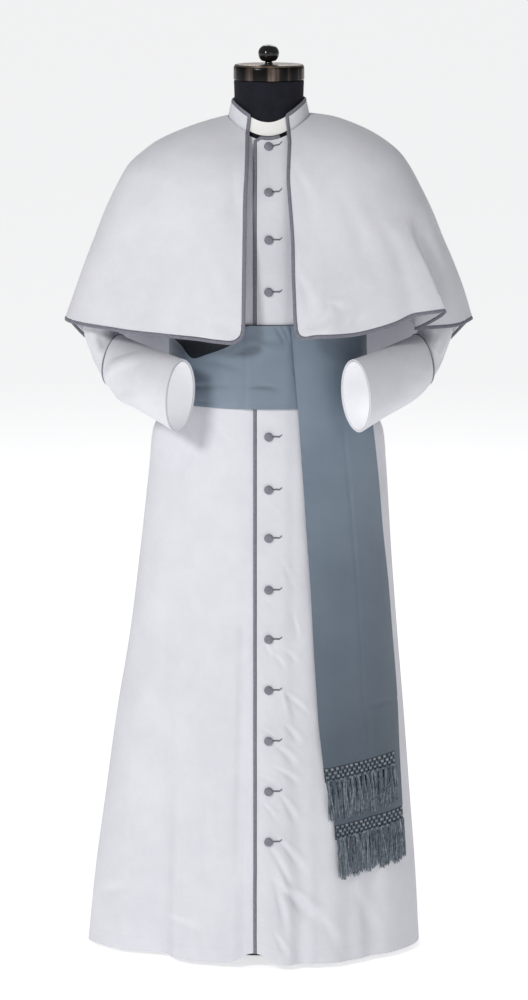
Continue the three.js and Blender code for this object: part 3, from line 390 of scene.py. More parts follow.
# Creases of a sleeve, in degrees round it and row positions
SLEEVE_CREASES = [
    (42, 8.15, 118, 9.9, 16, -5.0, 4), (70, 8.1, 150, 9.6, 13, 4.2, 4), (20, 8.3, 70, 9.7, 12, 2.4, 3),
    (118, 8.3, 170, 9.3, 14, -3.6, 4), (30, 6.6, 96, 7.8, 13, -3.0, 4),
    (90, 6.0, 140, 7.4, 13, -2.6, 4),
    (160, 6.2, 200, 7.6, 14, -3.0, 4), (220, 6.0, 290, 7.8, 15, -3.0, 4),
    (300, 6.4, 340, 7.8, 13, -2.0, 4),
    (250, 8.4, 300, 10.2, 16, -2.4, 4), (60, 3.4, 84, 5.4, 12, -2.0, 4),
    (290, 3.0, 270, 5.2, 14, -2.0, 4),
]
RIGHT_SLEEVE_CREASES = [
    (60, 8.3, 110, 10.0, 20, -2.0, 4), (320, 8.4, 350, 10.2, 20, -2.2, 4),
    (30, 6.6, 96, 7.8, 13, -2.6, 4),
    (90, 6.0, 140, 7.4, 13, -2.2, 4), (220, 6.0, 290, 7.8, 15, -2.6, 4),
    (60, 3.4, 84, 5.4, 12, -2.0, 4),
]

# Creases of the sash's band, as seen from the front
BAND_CREASES = [
    (-150, 1004, -60, 1010, 5, -1.0, 3), (-60, 1066, 10, 1086, 7, -1.2, 4),
    (-110, 1050, -50, 1040, 6, -0.9, 3), (-32, 1012, 14, 1010, 4, -2.2, 2),
    (-20, 1090, 28, 1076, 6, 1.6, -3), (10, 1118, 26, 1086, 3.5, -1.8, 2),
    (22, 1118, 34, 1092, 3, -1.4, 1), (34, 1112, 40, 1088, 3, 1.2, 1),
    (40, 1048, 56, 1012, 3, -1.2, 1), (-146, 1116, -118, 1080, 4, -1.4, 2),
    (-160, 1060, -130, 1052, 5, -0.8, 2), (-96, 1096, -48, 1112, 5, 1.4, 4),
]

# How far the outer turn's upper edge hangs down at the left of the front
BAND_SAG = Table(("x", "sag"), [
    (-168, 26), (-164, 29), (-146, 43), (-126, 62), (-100, 52), (-62, 34), (-47, 17), (-40, 3),
    (-30, 0),
])

TRUNK_SECTIONS = Table(SECTION_COLUMNS, [
    (158, 1330, 158, 1330, 101, 1322, 101, 1330, 2.1, 2.1),
    (155, 1270, 155, 1270, 106, 1270, 102, 1270, 2, 2),
    (148, 1180, 148, 1180, 103, 1180, 93, 1180, 2, 2),
    (142, 1080, 142, 1080, 98, 1080, 88, 1080, 2, 2),
    (150, 1000, 150, 1000, 102, 1000, 96, 1000, 2, 2),
    (162, 900, 162, 900, 110, 900, 114, 900, 2, 2),
    (157, 800, 157, 800, 104, 800, 108, 800, 2, 2),
])

KNOB_PROFILE = Table(("radius", "rise"), [
    (7, 0), (6, 4), (12, 6), (17, 13), (18, 19), (16, 26), (11, 31), (4, 33.5),
])

SLEEVE_ANGLES = np.arange(96) * 3.75
FORM_ANGLES = np.arange(FORM_SIDES) * 360 / FORM_SIDES


def smooth_step(value, start, end):
    t = np.clip((value - start) / (end - start), 0, 1)
    return t * t * (3 - 2 * t)


def float_grids(*values):
    """Arrays of one shape from numbers or arrays."""
    return np.broadcast_arrays(*(np.asarray(value, float) for value in values))


def unit(vectors):
    return vectors / np.linalg.norm(vectors, axis=-1, keepdims=True)


def point_on_section(table, degrees, position):
    """The point of a cross-section at an angle round it."""
    degrees, position = float_grids(degrees, position)
    turn = np.radians(degrees)
    across, ahead = np.sin(turn), np.cos(turn)
    left, behind = across < 0, ahead < 0
    read = lambda name: table.read(name, position)
    side_x = np.where(left, read("leftX"), read("rightX"))
    side_z = np.where(left, read("leftZ"), read("rightZ"))
    depth = np.where(behind, read("backY"), read("frontY"))
    depth_z = np.where(behind, read("backZ"), read("frontZ"))
    power = np.where(behind, 2, np.where(left, read("leftPower"), read("rightPower")))
    total = (np.abs(across) / side_x) ** power + (np.abs(ahead) / depth) ** power
    reach = total ** (-1 / power)
    height = side_z + (depth_z - side_z) * ahead**2
    return np.stack([reach * across, -reach * ahead, height], -1)


def fold_depth(folds, degrees, z, hem_z):
    depth = np.zeros(np.broadcast(degrees, z).shape)
    for angle, half_width, deep, top_z in folds:
        t = (np.mod(degrees - angle + 180, 360) - 180) / half_width
        rise = np.clip((top_z - z) / (top_z - hem_z), 0, 1)
        wave = np.where(np.abs(t) < 1, 0.5 * (1 + np.cos(np.pi * np.clip(t, -1, 1))), 0)
        depth = depth + deep * wave * rise**1.4
    return depth


def push_out(point, distance):
    reach = np.hypot(point[..., 0], point[..., 1])
    point[..., 0] *= 1 + distance / reach
    point[..., 1] *= 1 + distance / reach


def body_point(degrees, position):
    """The outer surface of the cassock's body."""
    degrees, position = float_grids(degrees, position)
    point = point_on_section(BODY_SECTIONS, degrees, position)
    push_out(point, fold_depth(SKIRT_FOLDS, degrees, point[..., 2], HEM_Z))
    near_hem = smooth_step(position, HEM_ROW - 1.2, HEM_ROW)
    notch = np.exp(-(((point[..., 0] - HEM_NOTCH["x"]) / HEM_NOTCH["width"]) ** 2))
    point[..., 2] += np.where(point[..., 1] < 0, HEM_NOTCH["lift"] * notch * near_hem, 0)
    return point


def cape_point(degrees, position):
    """The outer surface of the cape."""
    degrees, position = float_grids(degrees, position)
    point = point_on_section(CAPE_SECTIONS, degrees, position)
    push_out(point, fold_depth(CAPE_FOLDS, degrees, point[..., 2], CAPE_HEM_Z))
    behind = smooth_step(-np.cos(np.radians(degrees)), 0.02, 0.5)
    top = CAPE_BACK_DROP["topRow"]
    below = np.clip((position - top) / (CAPE_HEM_ROW - top), 0, None)
    point[..., 2] -= CAPE_BACK_DROP["depth"] * behind * below**1.2
    turned = np.mod(degrees, 360)
    thrown = turned < 90
    at = CAPE_THROW.position_of("degrees", np.clip(turned, 0, 90))
    span = (position - CAPE_THROW_TOP) / (CAPE_HEM_ROW - CAPE_THROW_TOP)
    rise = np.where(thrown, np.clip(span, 0, 1.1) ** 1.3, 0)
    for axis, name in enumerate(("throwX", "throwY", "lift")):
        point[..., axis] += CAPE_THROW.read(name, at) * rise
    return point


def collar_point(degrees, position):
    return point_on_section(COLLAR_SECTIONS, degrees, position)


def offset_point(surface, u, v, distance, step_u=1.2, step_v=0.04):
    """A surface moved out along its own normal."""
    along_u = surface(u + step_u, v) - surface(u - step_u, v)
    along_v = surface(u, v + step_v) - surface(u, v - step_v)
    normal = unit(np.cross(along_u, along_v))
    return surface(u, v) - normal * np.asarray(distance, float)[..., None]


def angle_at_x(surface, x, position):
    """The angle at which a surface has a given x, on its front half."""
    x, position = float_grids(x, position)
    low, high = np.full(x.shape, -89.0), np.full(x.shape, 89.0)
    for _ in range(34):
        middle = (low + high) / 2
        short = surface(middle, position)[..., 0] < x
        low, high = np.where(short, middle, low), np.where(short, high, middle)
    return (low + high) / 2


def crease_depth(table, a, b, scale_b=1.0):
    """The height that creases add at (a, b): a soft trough with a low ridge beside it."""
    depth = np.zeros(np.broadcast(a, b).shape)
    for a1, b1, a2, b2, width, deep, bow in table:
        run_a, run_b = a2 - a1, (b2 - b1) * scale_b
        length = math.hypot(run_a, run_b)
        away_a, away_b = a - a1, (b - b1) * scale_b
        along = (away_a * run_a + away_b * run_b) / length**2
        across = (away_b * run_a - away_a * run_b) / length
        inside = np.clip(along, 0, 1)
        across = across - bow * 4 * inside * (1 - inside)
        past = np.abs(along - inside) * length / (2.0 * width)
        taper = np.sin(np.pi * np.clip(0.06 + 0.88 * inside, 0, 1)) ** 0.8 * np.exp(-(past**2))
        narrow = width * (0.75 + 0.5 * inside)
        trough = np.exp(-((across / narrow) ** 2))
        ridge = 0.42 * np.exp(-(((across - 1.7 * narrow) / narrow) ** 2))
        depth = depth + deep * taper * (trough - ridge)
    return depth


def soft_waves(a, b, height, length, seed):
    """Low uneven waves all over a cloth, from a few crossing sines."""
    waves = np.zeros(np.broadcast(a, b).shape)
    for index in range(5):
        turn = seed * 1.7 + index * 2.4
        scale = 2 * math.pi / (length * (0.6 + 0.28 * index))
        run = a * math.cos(turn) + b * math.sin(turn) * 0.6
        waves = waves + np.sin(run * scale + seed * 3.1 + index * 1.3)
    return waves * height / 3


# Meshes


def grid_quads(rows, columns, wide, wrap):
    """Corner numbers of a grid's faces; wide is the number of points in a stored row."""
    row = np.arange(rows - 1)[:, None]
    column = np.arange(columns if wrap else columns - 1)[None, :]
    following = (column + 1) % wide
    corners = (row * wide + column, row * wide + following)
    below = ((row + 1) * wide + following, (row + 1) * wide + column)
    return np.stack([*corners, *below], -1).reshape(-1, 4)


def arc_lengths(grid, wrap):
    """Flat coordinates in metres: along each row and down each column."""
    wide = np.concatenate([grid, grid[:, :1]], 1) if wrap else grid
    along = np.linalg.norm(np.diff(wide, axis=1), axis=-1).cumsum(1)
    down = np.linalg.norm(np.diff(wide, axis=0), axis=-1).cumsum(0)
    along = np.concatenate([np.zeros((len(wide), 1)), along], 1)
    down = np.concatenate([np.zeros((1, wide.shape[1])), down], 0)
    along -= along[:, wide.shape[1] // 2][:, None]
    return np.stack([along, down], -1) * MM


def new_object(name, vertices, faces, uvs, materials, face_slots=None, angle=50):
    """A mesh object on the frame's one body. uvs holds one pair for each face corner."""
    mesh = bpy.data.meshes.new(name)
    mesh.from_pydata((vertices * MM).tolist(), [], [list(face) for face in faces])
    layer = mesh.uv_layers.new(name="UVMap")
    layer.data.foreach_set("uv", np.asarray(uvs, np.float32).ravel())
    for material in materials:
        mesh.materials.append(material)
    if face_slots is not None:
        mesh.polygons.foreach_set("material_index", np.asarray(face_slots, np.int32))
    mesh.shade_smooth()
    mesh.set_sharp_from_angle(angle=math.radians(angle))
    mesh.update()
    made = bpy.data.objects.new(name, mesh)
    bpy.context.scene.collection.objects.link(made)
    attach(made, "root")
    return made


def signed_volume(vertices, quads):
    a, b, c, d = (vertices[quads[:, i]] for i in range(4))
    first = np.einsum("ij,ij->i", a, np.cross(b, c))
    return (first + np.einsum("ij,ij->i", a, np.cross(c, d))).sum()


def shell(name, outside, inside, materials, wrap=False, painted_shade=None):
    """A closed thin wall between two grids of points."""
    rows, columns = outside.shape[:2]
    count = rows * columns
    vertices = np.concatenate([outside.reshape(-1, 3), inside.reshape(-1, 3)])
    outer = grid_quads(rows, columns, columns, wrap)
    wide = columns + 1 if wrap else columns
    flat = arc_lengths(outside, wrap).reshape(-1, 2)
    uv_quads = grid_quads(rows, wide, wide, False)
    inner = outer[:, ::-1] + count
    first = np.arange(columns if wrap else columns - 1)
    following = (first + 1) % columns
    base = (rows - 1) * columns
    rims = [
        np.stack([following, first, first + count, following + count], -1),
        np.stack([base + first, base + following, base + following + count, base + first + count], -1),
    ]
    if not wrap:
        down = np.arange(rows - 1) * columns
        end = down + columns - 1
        rims.append(np.stack([down, down + columns, down + columns + count, down + count], -1))
        rims.append(np.stack([end + columns, end, end + count, end + columns + count], -1))
    rim = np.concatenate(rims)
    quads = np.concatenate([outer, inner, rim])
    turned = signed_volume(vertices, quads) < 0
    uvs = np.concatenate([flat[uv_quads], flat[uv_quads[:, ::-1]], flat[rim % count % len(flat)]])
    if turned:
        quads, uvs = quads[:, ::-1], uvs[:, ::-1]
    slots = np.zeros(len(quads), int)
    if len(materials) > 1:
        slots[len(outer):len(outer) + len(inner)] = 1
    made = new_object(name, vertices, quads.tolist(), uvs.reshape(-1, 2), materials, slots)
    # An optional per-point share of painted shade, which the satin mixes towards near black
    if painted_shade is not None:
        layer = made.data.attributes.new("painted_shade", "FLOAT", "POINT")
        layer.data.foreach_set("value", np.tile(painted_shade.reshape(-1), 2).astype(np.float32))
    return made


def rings_parts(rings):
    """Vertices and faces of a solid through closed rings, an array of (rings, points, 3)."""
    count, sides = rings.shape[:2]
    quads = grid_quads(count, sides, sides, True).tolist()
    last = (count - 1) * sides
    caps = [list(range(sides))[::-1], [last + i for i in range(sides)]]
    return rings.reshape(-1, 3), quads + caps


def joined_rings(name, many, materials, angle=50):
    """One object from many ring solids."""
    vertices, faces, start = [], [], 0
    for rings in many:
        points, part = rings_parts(rings)
        quads = np.array(part[:-2])
        if signed_volume(points, quads) < 0:
            part = [face[::-1] for face in part]
        vertices.append(points)
        faces.extend([[index + start for index in face] for face in part])
        start += len(points)
    vertices = np.concatenate(vertices)
    corners = np.concatenate([np.array(face) for face in faces])
    places = vertices[corners]
    uvs = np.stack([places[:, 0] + places[:, 1] * 0.5, places[:, 2]], -1) * MM
    return new_object(name, vertices, faces, uvs, materials, angle=angle)


def strip_rings(points, normals, aways, profile):
    """The same profile at each point of a path."""
    outs, ups = np.array(profile).T
    return points[:, None] + aways[:, None] * outs[None, :, None] + normals[:, None] * ups[None, :, None]


def binding_profile(gap):
    """A folded binding: a flat oval that stands off the cloth's edge by gap."""
    turns = np.radians(np.arange(0, 360, 30))
    outs = gap + PIPING_WIDTH / 2 * (1 - np.cos(turns))
    ups = PIPING_THICKNESS / 2 * np.sign(np.sin(turns)) * np.abs(np.sin(turns)) ** 0.55
    return list(zip(outs, ups))


def edge_binding(name, outer_edge, inner_edge, side, gap, material):
    middle = (outer_edge + inner_edge) / 2
    along = unit(np.gradient(middle, axis=0))
    normal = unit(outer_edge - inner_edge)
    away = unit(np.cross(along, normal) * side)
    rings = strip_rings(middle, normal, away, binding_profile(gap))
    return joined_rings(name, [rings], [material], 70)


def tube_rings(points, radii, sides):
    """Rings of a round tube along points."""
    points = np.asarray(points, float)
    along = unit(np.gradient(points, axis=0))
    side = unit(np.cross(along, np.array([0.02, 1.0, 0.03])))
    ahead = np.cross(side, along)
    turns = np.radians(np.arange(sides) * 360 / sides)
    radii = np.broadcast_to(np.asarray(radii, float), (len(points),))[:, None, None]
    circle = np.cos(turns)[None, :, None] * side[:, None]
    circle = circle + np.sin(turns)[None, :, None] * ahead[:, None]
    return points[:, None] + circle * radii


# Materials


def new_material(name, roughness, sheen=0.0, metallic=0.0, specular=0.5):
    material = bpy.data.materials.new(name)
    material.use_nodes = True
    shader = material.node_tree.nodes["Principled BSDF"]
    shader.inputs["Roughness"].default_value = roughness
    shader.inputs["Metallic"].default_value = metallic
    shader.inputs["Sheen Weight"].default_value = sheen
    shader.inputs["Sheen Roughness"].default_value = 0.45
    shader.inputs["Specular IOR Level"].default_value = specular
    return material, material.node_tree, shader


def add_node(tree, kind, **values):
    node = tree.nodes.new(kind)
    for name, value in values.items():
        if name in node.inputs:
            node.inputs[name].default_value = value
        else:
            setattr(node, name, value)
    return node


def flat_place(tree, turn=0.0):
    """Flat cloth coordinates in millimetres, turned by an angle."""
    place = tree.nodes.new("ShaderNodeUVMap")
    mapping = add_node(tree, "ShaderNodeMapping")
    mapping.inputs["Scale"].default_value = (1000, 1000, 1000)
    mapping.inputs["Rotation"].default_value = (0, 0, math.radians(turn))
    tree.links.new(place.outputs["UV"], mapping.inputs["Vector"])
    return mapping.outputs["Vector"]


def colour_ramp(tree, factor, low, high, start=0.3, end=0.7):
    ramp = tree.nodes.new("ShaderNodeValToRGB")
    ramp.color_ramp.elements[0].position = start
    ramp.color_ramp.elements[1].position = end
    ramp.color_ramp.elements[0].color = (*low, 1)
    ramp.color_ramp.elements[1].color = (*high, 1)
    tree.links.new(factor, ramp.inputs["Fac"])
    return ramp.outputs["Color"]


def bump_chain(tree, shader, layers):
    """Bumps in a row: each layer is (height output, strength, distance in metres)."""
    before = None
    for height, strength, distance in layers:
        bump = add_node(tree, "ShaderNodeBump", Strength=strength, Distance=distance)
        tree.links.new(height, bump.inputs["Height"])
        if before is not None:
            tree.links.new(before, bump.inputs["Normal"])
        before = bump.outputs["Normal"]
    tree.links.new(before, shader.inputs["Normal"])


def object_noise(tree, scale, detail=3.0, roughness=0.55):
    place = tree.nodes.new("ShaderNodeTexCoord")
    noise = add_node(tree, "ShaderNodeTexNoise", Scale=scale, Detail=detail, Roughness=roughness)
    tree.links.new(place.outputs["Object"], noise.inputs["Vector"])
    return noise.outputs["Fac"]


def twill(tree, pitch, turn):
    """Fine diagonal ribs of a woven cloth, pitch in millimetres."""
    wave = add_node(tree, "ShaderNodeTexWave", Scale=0.314 / pitch, Distortion=0.6, Detail=1.0)
    tree.links.new(flat_place(tree, turn), wave.inputs["Vector"])
    return wave.outputs["Fac"]


def cloth_material(name, low, high, painted_glow=False):
    """White suiting: a fine twill, a slight mottle and a soft handle, and for the lining a painted glow.
    """
    material, tree, shader = new_material(name, 0.82, 0.12, specular=0.25)
    mottle = object_noise(tree, 9, 5.0, 0.7)
    colour = colour_ramp(tree, mottle, low, high, 0.25, 0.75)
    tree.links.new(colour, shader.inputs["Base Color"])
    # Painted light: the lining glows though it is no lamp, to brighten the inside of the sleeves and
    # cuffs
    if painted_glow:
        shader.inputs["Emission Color"].default_value = (0.95, 0.95, 0.97, 1)
        shader.inputs["Emission Strength"].default_value = 0.16
    layers = [
        (object_noise(tree, 22, 4.0), 0.25, 0.004),
        (object_noise(tree, 170, 2.0), 0.12, 0.001),
        (twill(tree, 1.1, 58), 0.16, 0.0003),
    ]
    bump_chain(tree, shader, layers)
    return material


def piping_material():
    """Mid-grey binding with a fine cross rib."""
    material, tree, shader = new_material("grey_piping", 0.62, 0.1, specular=0.3)
    colour = colour_ramp(tree, object_noise(tree, 260), (0.155, 0.155, 0.19), (0.215, 0.215, 0.255))
    tree.links.new(colour, shader.inputs["Base Color"])
    bump_chain(tree, shader, [(object_noise(tree, 700, 2.0), 0.35, 0.0004)])
    return material


def open_socket(sockets, name):
    """The socket of that name that the node's present setting uses."""
    return next(socket for socket in sockets if socket.name == name and socket.enabled)


def mix_colour(tree, factor, start, end, blend="MIX"):
    """A colour that turns from a linked one to a fixed one as the factor rises."""
    mix = add_node(tree, "ShaderNodeMix", data_type="RGBA", blend_type=blend)
    tree.links.new(factor, open_socket(mix.inputs, "Factor"))
    tree.links.new(start, open_socket(mix.inputs, "A"))
    open_socket(mix.inputs, "B").default_value = (*end, 1)
    return next(socket for socket in mix.outputs if socket.enabled)


def satin_material():
    """Slate-blue satin: fine cross ribs and a low gloss; its colour darkens towards the bottom as painted
    shade, and a per-point attribute paints deep shade near black.
    """
    material, tree, shader = new_material("slate_satin", 0.46, 0.15, specular=0.45)
    mottle = colour_ramp(tree, object_noise(tree, 7, 3.0), (0.16, 0.205, 0.26), (0.2, 0.25, 0.31))
    place = tree.nodes.new("ShaderNodeTexCoord")
    split = tree.nodes.new("ShaderNodeSeparateXYZ")
    tree.links.new(place.outputs["Object"], split.inputs["Vector"])
    # Painted shade: the satin's colour darkens towards the bottom
    painted_shade_fall = add_node(tree, "ShaderNodeMapRange")
    painted_shade_fall.inputs["From Min"].default_value = SATIN_PALE_Z
    painted_shade_fall.inputs["From Max"].default_value = SATIN_DARK_Z
    tree.links.new(split.outputs["Z"], painted_shade_fall.inputs["Value"])
    lower = mix_colour(tree, painted_shade_fall.outputs["Result"], mottle, (0.42, 0.45, 0.47), "MULTIPLY")
    # Painted shade: a per-point attribute mixes the colour towards near black
    painted_shade = add_node(tree, "ShaderNodeAttribute", attribute_name="painted_shade")
    dark = mix_colour(tree, painted_shade.outputs["Fac"], lower, (0.006, 0.008, 0.011))
    tree.links.new(dark, shader.inputs["Base Color"])
    layers = [
        (object_noise(tree, 30, 3.0), 0.22, 0.004),
        (twill(tree, 0.8, 90), 0.14, 0.0003),
    ]
    bump_chain(tree, shader, layers)
    return material


def fringe_material(name, low, high):
    material, tree, shader = new_material(name, 0.5, 0.2, specular=0.5)
    colour = colour_ramp(tree, object_noise(tree, 160, 4.0), low, high, 0.35, 0.68)
    tree.links.new(colour, shader.inputs["Base Color"])
    bump_chain(tree, shader, [(object_noise(tree, 900, 2.0), 0.4, 0.0004)])
    return material


def form_cloth_material():
    material, tree, shader = new_material("dark_cloth", 0.88, 0.05, specular=0.2)
    colour = colour_ramp(tree, object_noise(tree, 40), (0.007, 0.007, 0.012), (0.013, 0.013, 0.021))
    tree.links.new(colour, shader.inputs["Base Color"])
    bump_chain(tree, shader, [(object_noise(tree, 900, 2.0), 0.3, 0.0003)])
    return material


def cap_metal_material():
    """A dark polished band whose upright streaks of bronze and grey are painted reflections."""
    material, tree, shader = new_material("dark_metal", 0.22, metallic=0.75)
    place = tree.nodes.new("ShaderNodeTexCoord")
    mapping = add_node(tree, "ShaderNodeMapping")
    mapping.inputs["Scale"].default_value = (46, 46, 0.4)
    tree.links.new(place.outputs["Object"], mapping.inputs["Vector"])
    noise = add_node(tree, "ShaderNodeTexNoise", Scale=1.6, Detail=3.0)
    tree.links.new(mapping.outputs["Vector"], noise.inputs["Vector"])
    # Painted reflections: upright streaks from near black to bronze-grey
    colour = colour_ramp(tree, noise.outputs["Fac"], (0.008, 0.007, 0.007), (0.16, 0.12, 0.1), 0.5, 0.68)
    tree.links.new(colour, shader.inputs["Base Color"])
    return material


def bronze_material():
    material, tree, shader = new_material("bronze_top", 0.35, metallic=0.6)
    colour = colour_ramp(tree, object_noise(tree, 60), (0.09, 0.06, 0.04), (0.19, 0.14, 0.1))
    tree.links.new(colour, shader.inputs["Base Color"])
    return material


def black_material(name, roughness):
    material, tree, shader = new_material(name, roughness)
    colour = colour_ramp(tree, object_noise(tree, 50), (0.003, 0.003, 0.004), (0.009, 0.009, 0.01))
    tree.links.new(colour, shader.inputs["Base Color"])
    bump_chain(tree, shader, [(object_noise(tree, 300), 0.05, 0.0003)])
    return material


def floor_material():
    material, tree, shader = new_material("pale_floor", 0.9, specular=0.0)
    shader.inputs["Base Color"].default_value = (0.93, 0.93, 0.94, 1)
    shader.inputs["Emission Color"].default_value = (1, 1, 1, 1)
    shader.inputs["Emission Strength"].default_value = 0.62
    return material


# Body panels


def armhole_angle(position):
    middle = (ARMHOLE_TOP + ARMHOLE_BOTTOM) / 2
    half = (ARMHOLE_BOTTOM - ARMHOLE_TOP) / 2
    away = (position - middle) / half
    return ARMHOLE_HALF_ANGLE * np.sqrt(np.clip(1 - away**2, 0, None))


def side_angle(position):
    reach = np.minimum(BODY_SECTIONS.read("leftX", position), BODY_SECTIONS.read("rightX", position))
    return 90 - np.degrees(SEAM_GAP * 0.6 / reach) - armhole_angle(position)


def placket_lift(degrees, position):
    x = body_point(degrees, position)[..., 0]
    return PLACKET_LIFT * (1 - smooth_step(x, PLACKET_LIFT_FULL_X, PLACKET_LIFT_END_X))


def lifted_body(degrees, position, distance):
    return offset_point(body_point, degrees, position, placket_lift(degrees, position) + distance)


def placket_edge_x(position):
    t = 1 - np.minimum(position / PLACKET_CORNER_ROWS, 1)
    return PLACKET_EDGE_X + PLACKET_CORNER * (1 - np.sqrt(np.clip(1 - t * t, 0, None)))


def panel_places(rows, start, end, shares):
    """Angles and row positions of a panel's grid."""
    angles = start[:, None] + (end - start)[:, None] * shares[None, :]
    return angles, np.repeat(rows[:, None], len(shares), 1)


def quiet_bands(z, degrees):
    """Creases fade under the sash, at the neck and at the side seams."""
    band = smooth_step(z, 930, 970) * (1 - smooth_step(z, 1122, 1150))
    sides = smooth_step(np.abs(np.cos(np.radians(degrees))), 0.02, 0.26)
    return (1 - band) * sides * smooth_step(z, 1430, 1390)


def front_relief(degrees, position):
    point = body_point(degrees, position)
    x, z = point[..., 0], point[..., 2]
    depth = crease_depth(FRONT_CREASES, x, z) + soft_waves(x, z, 0.8, 150, 1)
    depth = depth + soft_waves(x, z, 0.22, 34, 4) * smooth_step(z, 900, 500)
    near_edge = np.exp(-(((x + 12) / 11) ** 2)) * smooth_step(z, 900, 800)
    puckers = np.sin(z * 0.83 + 1.9 * np.sin(z * 0.041)) * (0.6 + 0.4 * np.sin(z * 0.09 + 1))
    depth = depth + 0.26 * near_edge * puckers
    return depth * quiet_bands(z, degrees)


def back_relief(degrees, position):
    point = body_point(degrees, position)
    x, z = point[..., 0], point[..., 2]
    depth = crease_depth(BACK_CREASES, x, z) + soft_waves(x, z, 1.1, 170, 2)
    return depth * quiet_bands(z, degrees)


def front_rows():
    heights = np.concatenate([np.linspace(1430, 640, 124), np.linspace(640, HEM_Z, 205)[1:]])
    rows = BODY_SECTIONS.position_of("frontZ", heights)
    rows[0], rows[-1] = 0, HEM_ROW
    return rows


def panel_grids(rows, start, end, shares, place):
    angles, positions = panel_places(rows, start, end, shares)
    return place(angles, positions, 0.0), place(angles, positions, -WALL)


def under_front_grids():
    rows = front_rows()
    shares = 1 - np.linspace(0, 1, 112)[::-1] ** 1.35
    place = lambda u, v, distance: offset_point(body_point, u, v, front_relief(u, v) + distance)
    end = angle_at_x(body_point, UNDERLAP_X, rows)
    return panel_grids(rows, -side_angle(rows), end, shares, place)


def button_front_grids():
    rows = front_rows()
    shares = np.linspace(0, 1, 124) ** 1.45
    place = lambda u, v, distance: lifted_body(u, v, front_relief(u, v) + distance)
    start = angle_at_x(body_point, placket_edge_x(rows), rows)
    return panel_grids(rows, start, side_angle(rows), shares, place)


def back_grids():
    heights = np.linspace(1470, HEM_Z, 205)
    rows = BODY_SECTIONS.position_of("backZ", heights)
    rows[0], rows[-1] = 0, HEM_ROW
    place = lambda u, v, distance: offset_point(body_point, u, v, back_relief(u, v) + distance)
    shares = np.linspace(0, 1, 124)
    return panel_grids(rows, 180 - side_angle(rows), 180 + side_angle(rows), shares, place)


def build_under_front():
    made = shell("front_under_cloth", *under_front_grids(), [MATERIALS["white_cloth"]])
    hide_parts("front_under")


def build_button_front():
    """The front that laps over, with the binding of its top corner and its edge."""
    grids = button_front_grids()
    made = shell("front_button_cloth", *grids, [MATERIALS["white_cloth"]])
    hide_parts("front_button")
    bound_columns = 52
    edges = [np.concatenate([grid[0, 1:bound_columns][::-1], grid[:, 0]]) for grid in grids]
    binding = edge_binding("placket_binding", *edges, 1, PIPING_GAP, MATERIALS["grey_piping"])
    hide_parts("piping_placket")


def build_back():
    made = shell("back_cloth", *back_grids(), [MATERIALS["white_cloth"]])
    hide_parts("back")


# Sleeves and cuffs


def sleeve_ring(position, turn):
    read = lambda name: SLEEVE_RINGS.read(name, position - 1)
    outer = np.stack([read("outerX"), read("outerY"), read("outerZ")], -1)
    inner = np.stack([read("innerX"), read("innerY"), read("innerZ")], -1)
    front = np.stack([read("frontX"), read("frontY"), read("frontZ")], -1)
    centre, half = (outer + inner) / 2, (outer - inner) / 2
    return centre + half * np.cos(turn)[..., None] + front * np.sin(turn)[..., None]


def armhole_point(turn):
    middle = (ARMHOLE_TOP + ARMHOLE_BOTTOM) / 2
    position = middle - (ARMHOLE_BOTTOM - ARMHOLE_TOP) / 2 * np.cos(turn)
    point = body_point(-90 + ARMHOLE_HALF_ANGLE * np.sin(turn), position)
    centre = body_point(np.full(turn.shape, -90.0), np.full(turn.shape, float(middle)))
    return point + (centre - point) * 0.016


def sleeve_point(degrees, position):
    """The outer surface of the left sleeve, from its armhole at 0 to its end."""
    degrees, position = float_grids(degrees, position)
    turn = np.radians(degrees)
    ring = sleeve_ring(np.maximum(position, 1), turn)
    start = armhole_point(turn)
    share = np.clip(position, None, 1)[..., None]
    return np.where(position[..., None] >= 1, ring, start + (ring - start) * share)


def sleeve_grid(degrees, positions, distance, side):
    grid = offset_point(sleeve_point, degrees, positions, distance, 5, 0.05)
    return grid * np.array([-side, 1, 1])


def sleeve_relief(degrees, position, side):
    table = SLEEVE_CREASES if side < 0 else RIGHT_SLEEVE_CREASES
    turned = np.mod(degrees, 360)
    depth = crease_depth(table, turned, position, 50)
    depth = depth + soft_waves(turned * 1.1, position * 50, 1.0, 120, 3 + side)
    ends = smooth_step(position, 0.3, 1.6) * smooth_step(position, 11.2, 10.4)
    return depth * ends * smooth_step(np.abs(position - CUFF_START), 0.05, 0.35)


def sleeve_share(degrees, length):
    start = sleeve_point(degrees, np.full(degrees.shape, CUFF_START))
    near = sleeve_point(degrees, np.full(degrees.shape, CUFF_START - 0.1))
    return length / (np.linalg.norm(start - near, axis=-1) * 10)


def side_word(side):
    return "left" if side < 0 else "right"


def build_sleeve(side):
    """One sleeve, which lies close where the cuff covers it."""
    word = side_word(side)
    rows = np.concatenate([np.linspace(0.04, 6, 56), np.linspace(6, SLEEVE_END, 66)[1:]])
    degrees, positions = np.meshgrid(SLEEVE_ANGLES, rows)
    bump = sleeve_relief(degrees, positions, side)
    bump = np.where(positions > CUFF_START, np.minimum(bump, 0.5), bump)
    grids = [sleeve_grid(degrees, positions, bump + d, side) for d in (0.0, -WALL)]
    cloths = [MATERIALS["white_cloth"], MATERIALS["white_lining_painted_glow"]]
    sleeve = shell(f"sleeve_{word}_cloth", *grids, cloths, wrap=True)
    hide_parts(f"sleeve_{word}")


def build_cuff(side):
    """A turned-back cuff; only a little of the sleeve's deeper creases shows on it."""
    word = side_word(side)
    degrees, positions = np.meshgrid(SLEEVE_ANGLES, np.linspace(CUFF_START, SLEEVE_END, 60))
    relief = sleeve_relief(degrees, positions, side)
    bump = np.maximum(relief, -0.6) + np.minimum(relief, -0.6) * 0.12
    distances = (CUFF_GAP + CUFF_WALL, CUFF_GAP)
    grids = [sleeve_grid(degrees, positions, bump + d, side) for d in distances]
    cloths = [MATERIALS["white_cloth"], MATERIALS["white_lining_painted_glow"]]
    cuff = shell(f"cuff_{word}_cloth", *grids, cloths, wrap=True)
    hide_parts(f"cuff_{word}")


